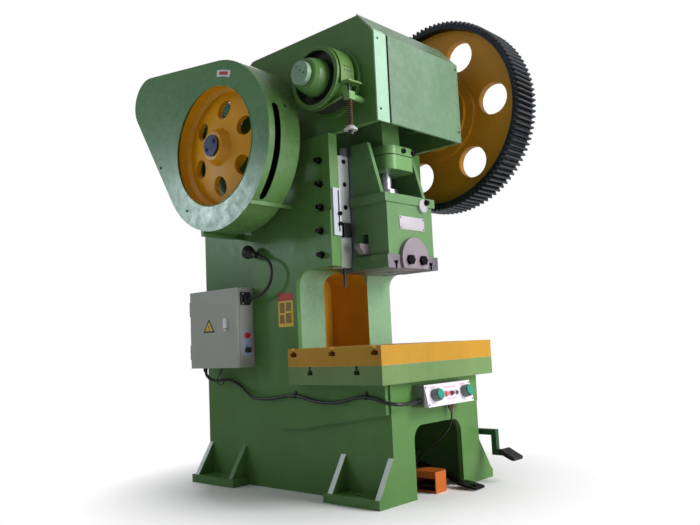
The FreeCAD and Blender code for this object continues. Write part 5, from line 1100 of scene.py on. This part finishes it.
@dataclass
class BrakeTrim:
    """Rivets that hold the lining in the brake band, and the holes in the crankshaft's end."""

    radius: float = 179.4
    across: Sequence[float] = (-452, -474, -496)
    angles: Sequence[float] = (171, 178, 60, 67, 120, 127)
    end_face: float = -662.0
    end_holes: Pairs = ((21, 2301), (-4, 2275), (-33, 2255))

    def build(self) -> None:
        """Set the rivets round the band and the holes in the shaft's end."""
        spots = []
        for angle in self.angles:
            turn = math.radians(angle)
            way = Vector((0, math.cos(turn), math.sin(turn)))
            spots += [(at(x, *CRANK_AXIS) + way * self.radius / 1000, way) for x in self.across]
        scatter("band_rivets", spots, pan_head(5.0, 2.0, False), Finish.DULL_STEEL)
        # Black discs for the holes in the shaft's end: painted shade.
        scatter("shaft_end_holes", [(at(self.end_face, y, z), LEFT) for y, z in self.end_holes],
                pan_head(6.0, 0.4, False), Finish.BLACK_PRINT_AND_HOLE_SHADE, "crank")


@dataclass
class MotorTrim:
    """Cooling fins, cowl holes, foot bolts and box screws of the motor."""

    centre: Pair = (1317, 2415)
    fin_free: Pair = (-0.80, 0.92)
    shell: float = 131.0
    fins: Pair = (-437, -173)
    fin_count: int = 40
    fin_thick: float = 3.2
    fin_tall: float = 7.0
    cowl: float = -80.0
    hole_rings: Sequence[tuple[float, int]] = ((34, 8), (56, 14), (78, 20), (100, 26))
    feet_x: Pair = (-392, -238)
    feet_y: float = 88.0
    feet_top: float = 2299.0
    box_x: Pair = (-362, -278)
    box_y: float = 37.0
    box_top: float = 2583.0

    def build(self) -> None:
        """Make the motor's small pieces."""
        y, z = self.centre
        half, side = (self.fins[1] - self.fins[0]) / 2, self.fin_thick / 2
        rib = Former().block((-half, -RAM_LINE - side, 0), (half, -RAM_LINE + side, self.fin_tall))
        spots = []
        for k in range(self.fin_count):
            turn = math.tau * (k + 0.5) / self.fin_count
            way = Vector((0, math.sin(turn), math.cos(turn)))
            if self.fin_free[0] < way.z < self.fin_free[1]:
                spots.append((at(sum(self.fins) / 2, y, z) + way * self.shell / 1000, way))
        scatter("motor_fins", spots, rib.mesh(0.6), Finish.MOTOR)
        holes = []
        for radius, count in self.hole_rings:
            for k in range(count):
                turn = math.tau * k / count
                holes.append((at(self.cowl, y + radius * math.cos(turn), z + radius * math.sin(turn)), RIGHT))
        # Black discs for the cowl's holes: painted shade.
        scatter("cowl_holes", holes, pan_head(5.0, 0.5, False), Finish.BLACK_PRINT_AND_HOLE_SHADE)
        feet = [(at(x, y + side * self.feet_y, self.feet_top), UP) for x in self.feet_x for side in (-1, 1)]
        nut = Former().hexagon(ORIGIN, UP, 18, 10)
        scatter("motor_bolts", feet, nut.mesh(0.6), Finish.DULL_STEEL, turn=1.0)
        corners = [(at(x, y + side * self.box_y, self.box_top), UP) for x in self.box_x for side in (-1, 1)]
        scatter("motor_box_screws", corners, pan_head(4.5, 2.5), Finish.DULL_STEEL, turn=6.0)


@dataclass
class GuardTrim:
    """Rolled edge, screws and small mark of the belt guard."""

    opening: float = 350.0
    face: float = -740.0
    face_screws: Pairs = ((1195, 1967), (928, 1652))
    rim_screw: Spot = (-600, 200, 2136)
    rim_radius: float = 497.5

    def build(self) -> None:
        """Make the guard's trim."""
        y, z = WHEEL_AXIS
        place("guard_rim", self.rolled_edge(at(self.face, y, z)).mesh(), Finish.GUARD, smooth=80)
        screws = [(at(self.face, *spot), LEFT) for spot in self.face_screws]
        x, toward_y, toward_z = self.rim_screw
        lean = math.atan2(toward_z - z, toward_y - y)
        way = Vector((0, math.cos(lean), math.sin(lean)))
        screws.append((at(x, y, z) + way * (self.rim_radius / 1000), way))
        scatter("guard_screws", screws, pan_head(8, 5), Finish.BLACK_STEEL, turn=6.0)
        self.label("guard_label", at(self.face, y, z), (402, 440), (98, 115), 0.6, Finish.WHITE_MARK)
        face = at(self.face - 0.6, y, z)
        self.label("guard_label_field", face, (411, 431), (101, 112), 0.4, Finish.RED_MARK)

    @staticmethod
    def label(name: str, centre: Vector, radii: Pair, angles: Pair, thick: float, finish: Finish) -> None:
        """Lay a flat arc on the guard's face.

        Args:
            name: Piece name.
            centre: Place that the arc is struck from, in metres.
            radii: Its inner and outer radius in millimetres.
            angles: Its first and last angle in degrees.
            thick: Its thickness in millimetres.
            finish: Its finish.
        """
        (inner, outer), (start, end) = radii, angles
        steps = [math.radians(start + (end - start) * k / 12) for k in range(13)]
        rim = [(outer, turn) for turn in steps] + [(inner, turn) for turn in reversed(steps)]
        corners = [centre + Vector((0, r * math.cos(turn), r * math.sin(turn))) / 1000 for r, turn in rim]
        place(name, Former().plate(corners, LEFT * thick / 1000).mesh(), finish)

    def rolled_edge(self, centre: Vector, roll: float = 3.0, sides: int = 96) -> Former:
        """Make the rolled edge of the opening.

        Args:
            centre: Centre of the opening on the guard's face, in metres.
            roll: Radius of the roll in millimetres.
            sides: Facets round the opening.

        Returns:
            The former that holds it.
        """
        former = Former()
        turns = [math.pi * j / 4 for j in range(8)]
        loop = [(roll * math.cos(turn), self.opening + 1.5 + roll * math.sin(turn)) for turn in turns]
        rows = []
        for k in range(sides):
            angle = math.tau * k / sides
            rows.append(former.ring(centre + Vector((-out, r * math.cos(angle), r * math.sin(angle))) / 1000
                                    for out, r in loop))
        for one, two in zip(rows, rows[1:] + rows[:1]):
            former.band(one, two)
        return former


@dataclass
class CabinetTrim:
    """Marks, side label, lamp bezel, selector plate and door seam of the electrical cabinet."""

    door: float = -541.0
    front: float = 735.0
    hazard: Sequence[tuple[str, float, float, Finish, Pairs]] = (
        ("hazard_edge", 0.0, 0.6, Finish.BLACK_PRINT_AND_HOLE_SHADE, ((950, 922), (1066, 922), (1008, 1006))),
        ("hazard_field", 0.4, 0.6, Finish.YELLOW_MARK, ((968, 932), (1048, 932), (1008, 990))),
        ("hazard_sign", 1.0, 0.4, Finish.BLACK_PRINT_AND_HOLE_SHADE, ((1012, 976), (1001, 954), (1009, 956), (1004, 938),
                                                     (1016, 962), (1008, 960))))
    bezel: Pairs = ((0, 22), (4, 22), (6, 19), (6, 15.4), (2, 15.2))
    bezel_spot: Pair = (-471, 893)
    side: float = -418.0
    label_thick: float = 0.8
    field_thick: float = 0.2
    label_sides: Pair = (377, 502)
    labels: Sequence[tuple[str, float, float, Finish]] = (
        ("side_label", 930, 1080, Finish.YELLOW_MARK), ("side_label_head", 1082, 1125, Finish.RED_MARK))
    label_fields: Sequence[tuple[float, float, float, float]] = (
        (390, 1020, 436, 1070), (446, 1010, 490, 1070), (390, 950, 440, 1008), (452, 950, 490, 1000))

    def build(self) -> None:
        """Make the cabinet's trim."""
        for name, out, thick, finish, corners in self.hazard:
            spots = [at(self.door - out, y, z) for y, z in corners]
            place(name, Former().plate(spots, LEFT * thick / 1000).mesh(), finish, "door")
        slab("selector_plate", (-505, self.front - 1.2, 770), (-437, self.front, 925), Finish.BLUE_MARK, 0.4)
        x, z = self.bezel_spot
        bezel = Former().turned(at(x, self.front - 1.2, z), FRONT, self.bezel, 32)
        place("lamp_bezel", bezel.mesh(), Finish.PINK)
        (near, far), face = self.label_sides, self.side - self.label_thick
        for name, low, high, finish in self.labels:
            slab(name, (face, near, low), (self.side, far, high), finish)
        slab("door_seam", (-523, self.front - 0.4, 706), (-521, self.front, 1179), Finish.DULL_STEEL)
        fields = Former()
        for y1, z1, y2, z2 in self.label_fields:
            fields.block((face - self.field_thick, y1, z1), (face, y2, z2))
        place("side_label_fields", fields.mesh(), Finish.BROWN_MARK)


@dataclass
class FootTrim:
    """Ground edges of the sloped ribs on the feet, left bare and brightened by a painted highlight."""

    ribs: Pairs = ((-292, -257), (34.5, 69.5), (1191, 1226))
    top: Pair = (392, 234)
    toe: Pair = (510, 48)
    inset: float = 1.0
    thick: float = 0.6

    def build(self) -> None:
        """Lay a thin strip on the sloped edge of each rib, bare steel brightened by a painted highlight."""
        strips = Former()
        for side in (-1, 1):
            rise = Vector((side * (self.top[1] - self.toe[1]), 0, self.toe[0] - self.top[0])).normalized()
            for near, far in self.ribs:
                y1, y2 = near + self.inset, far - self.inset
                corners = ((*self.top, y1), (*self.toe, y1), (*self.toe, y2), (*self.top, y2))
                strips.plate([at(side * x, y, z) for x, z, y in corners], rise * (self.thick / 1000))
        place("rib_edges", strips.mesh(), Finish.BARE_EDGE_HIGHLIGHT)


@dataclass
class ControlTrim:
    """Button bezels, corner screws and printed fields of the control box, and the switch hood's mark."""

    buttons: Pairs = ((-35, 12), (12, 11), (62, 9))
    bezel: Pairs = ((-0.5, 6), (3, 6), (4.5, 4), (4.5, 0.8), (0.5, 0.7))
    fields: Sequence[tuple[float, float, float, float]] = (
        (-137, 43, 26, 3), (137, 43, 26, 3), (12, 34, 58, 4), (12, -27, 44, 3))
    corner: Pair = (198, 46)
    hood_face: float = -293.0
    hood_marks: Sequence[Pairs] = (((50, 34), (58, 34), (64, 66), (56, 66)),
                                            ((44, 28), (64, 28), (64, 33), (44, 33)))

    def build(self) -> None:
        """Make the panel's trim."""
        bezels = Former()
        for x, radius in self.buttons:
            bezels.turned(panel_spot(x, 0), PANEL_WAY, [(out, radius + more) for out, more in self.bezel], 32)
        place("button_bezels", bezels.mesh(), Finish.PLATE)
        x, up = self.corner
        corners = [(panel_spot(*spot), PANEL_WAY) for spot in ((-x, -up), (-x, up), (x, -up), (x, up))]
        scatter("panel_screws", corners, pan_head(4.5, 2.5), Finish.BLACK_STEEL, turn=6.0)
        fields = Former()
        for x, up, half, tall in self.fields:
            square = ((-half, -tall), (half, -tall), (half, tall), (-half, tall))
            fields.plate([panel_spot(x + a, up + b) for a, b in square], PANEL_WAY * 0.0003)
        place("panel_fields", fields.mesh(), Finish.PINK_MARK)
        mark = Former()
        for corners in self.hood_marks:
            mark.plate([at(x, self.hood_face, z) for x, z in corners], FRONT * 0.0004)
        place("hood_mark", mark.mesh(), Finish.BLACK_PRINT_AND_HOLE_SHADE)


# ------------------------------------------------------------------ studio
@dataclass
class Studio:
    """Pale floor, soft lights, and the camera at the photograph's angle."""

    place: Spot = (-3.2962, -3.1350, 0.8289)
    right: Spot = (0.676524, -0.734994, -0.045812)
    down: Spot = (0.048030, 0.106115, -0.993193)
    forward: Spot = (0.734853, 0.669719, 0.107091)
    lens: float = 37.715
    aim: Spot = (0, 0, 1.4)
    lights: Sequence[tuple[str, Spot, float, float, Colour]] = field(default_factory=lambda: (
        ("key", (2.6, -6.6, 4.4), 520.0, 3.5, (1, 1, 1)),
        ("low front", (0.8, -7.2, 0.9), 230.0, 2.5, (1, 1, 1)),
        ("fill", (-3.6, 0.6, 4.6), 15.0, 3.0, (1, 1, 1)),
        ("rear", (3.5, 5.5, 4.5), 120.0, 4.0, (1, 1, 1)),
        ("sheen", (-3.9, 4.3, 2.62), 42.0, 0.9, (0.78, 0.94, 1.0))))

    def build(self) -> None:
        """Make the studio."""
        scene = bpy.context.scene
        scene.view_settings.view_transform = "Standard"
        camera = bpy.data.objects.new("camera", bpy.data.cameras.new("camera"))
        camera.data.lens = self.lens
        camera.data.sensor_width = 36.0
        camera.data.clip_end = 60.0
        turn = Matrix((self.right, -Vector(self.down), -Vector(self.forward))).transposed()
        camera.matrix_world = Matrix.Translation(self.place) @ turn.to_4x4()
        show(camera)
        scene.camera = camera
        for name, spot, power, size, tint in self.lights:
            lamp = bpy.data.lights.new(name, "AREA")
            lamp.energy = power
            lamp.color = tint
            lamp.size = size
            item = show(bpy.data.objects.new(name, lamp))
            item.location = spot
            way = Vector(self.aim) - Vector(spot)
            item.rotation_euler = way.to_track_quat("-Z", "Y").to_euler()
        self.sky()
        self.floor()

    @staticmethod
    def sky() -> None:
        """White to the camera, with plain lower levels of light to gloss and to the rest."""
        world = bpy.data.worlds.new("studio")
        bpy.context.scene.world = world
        world.use_nodes = True
        tree = Tree(world.node_tree)
        back = world.node_tree.nodes["Background"]
        path = tree.add("ShaderNodeLightPath")
        seen = tree.math("MAXIMUM", path.outputs["Is Camera Ray"], path.outputs["Is Transmission Ray"])
        level = tree.math("MAXIMUM", seen, tree.times(path.outputs["Is Glossy Ray"], 0.4))
        tree.join(back, {"Color": (1, 1, 1, 1), "Strength": tree.ramp(level, 0, 1, 0.15, 1.0)})

    @staticmethod
    def floor() -> None:
        """Plain pale floor that keeps the press's shadow and turns white away from it."""
        mesh = bpy.data.meshes.new("floor")
        mesh.from_pydata([(-30, -30, 0), (30, -30, 0), (30, 30, 0), (-30, 30, 0)], [], [(0, 1, 2, 3)])
        floor = show(bpy.data.objects.new("floor", mesh))
        material, tree, shader = surface("studio floor")
        tree.join(shader, {"Base Color": (0.9, 0.9, 0.9, 1), "Roughness": 0.9})
        seen = tree.add("ShaderNodeLightPath").outputs["Is Camera Ray"]
        share = tree.times(tree.ramp(tree.vector("LENGTH", tree.coords()), 0.8, 1.5), seen)
        white = tree.add("ShaderNodeEmission", {"Color": (1, 1, 1, 1), "Strength": 1.0})
        both = tree.add("ShaderNodeMixShader", {0: share, 1: shader.outputs[0], 2: white.outputs[0]})
        tree.join(material.node_tree.nodes["Material Output"], {"Surface": both.outputs[0]})
        mesh.materials.append(material)


def main() -> None:
    """Dress the press, add its trim and set the studio."""
    logging.basicConfig(level=logging.INFO, format="%(message)s")
    for item in list(bpy.data.objects):
        bpy.data.objects.remove(item)
    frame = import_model()
    Studio().build()
    dress_nodes(frame["nodes"])
    for part in (SwitchCable, ConduitHose, CabinetLoop, LampNeck, HeadTrim, RamTrim, BrakeTrim, MotorTrim,
                 GuardTrim, CabinetTrim, FootTrim, ControlTrim):
        part().build()


if __name__ == "__main__":
    main()
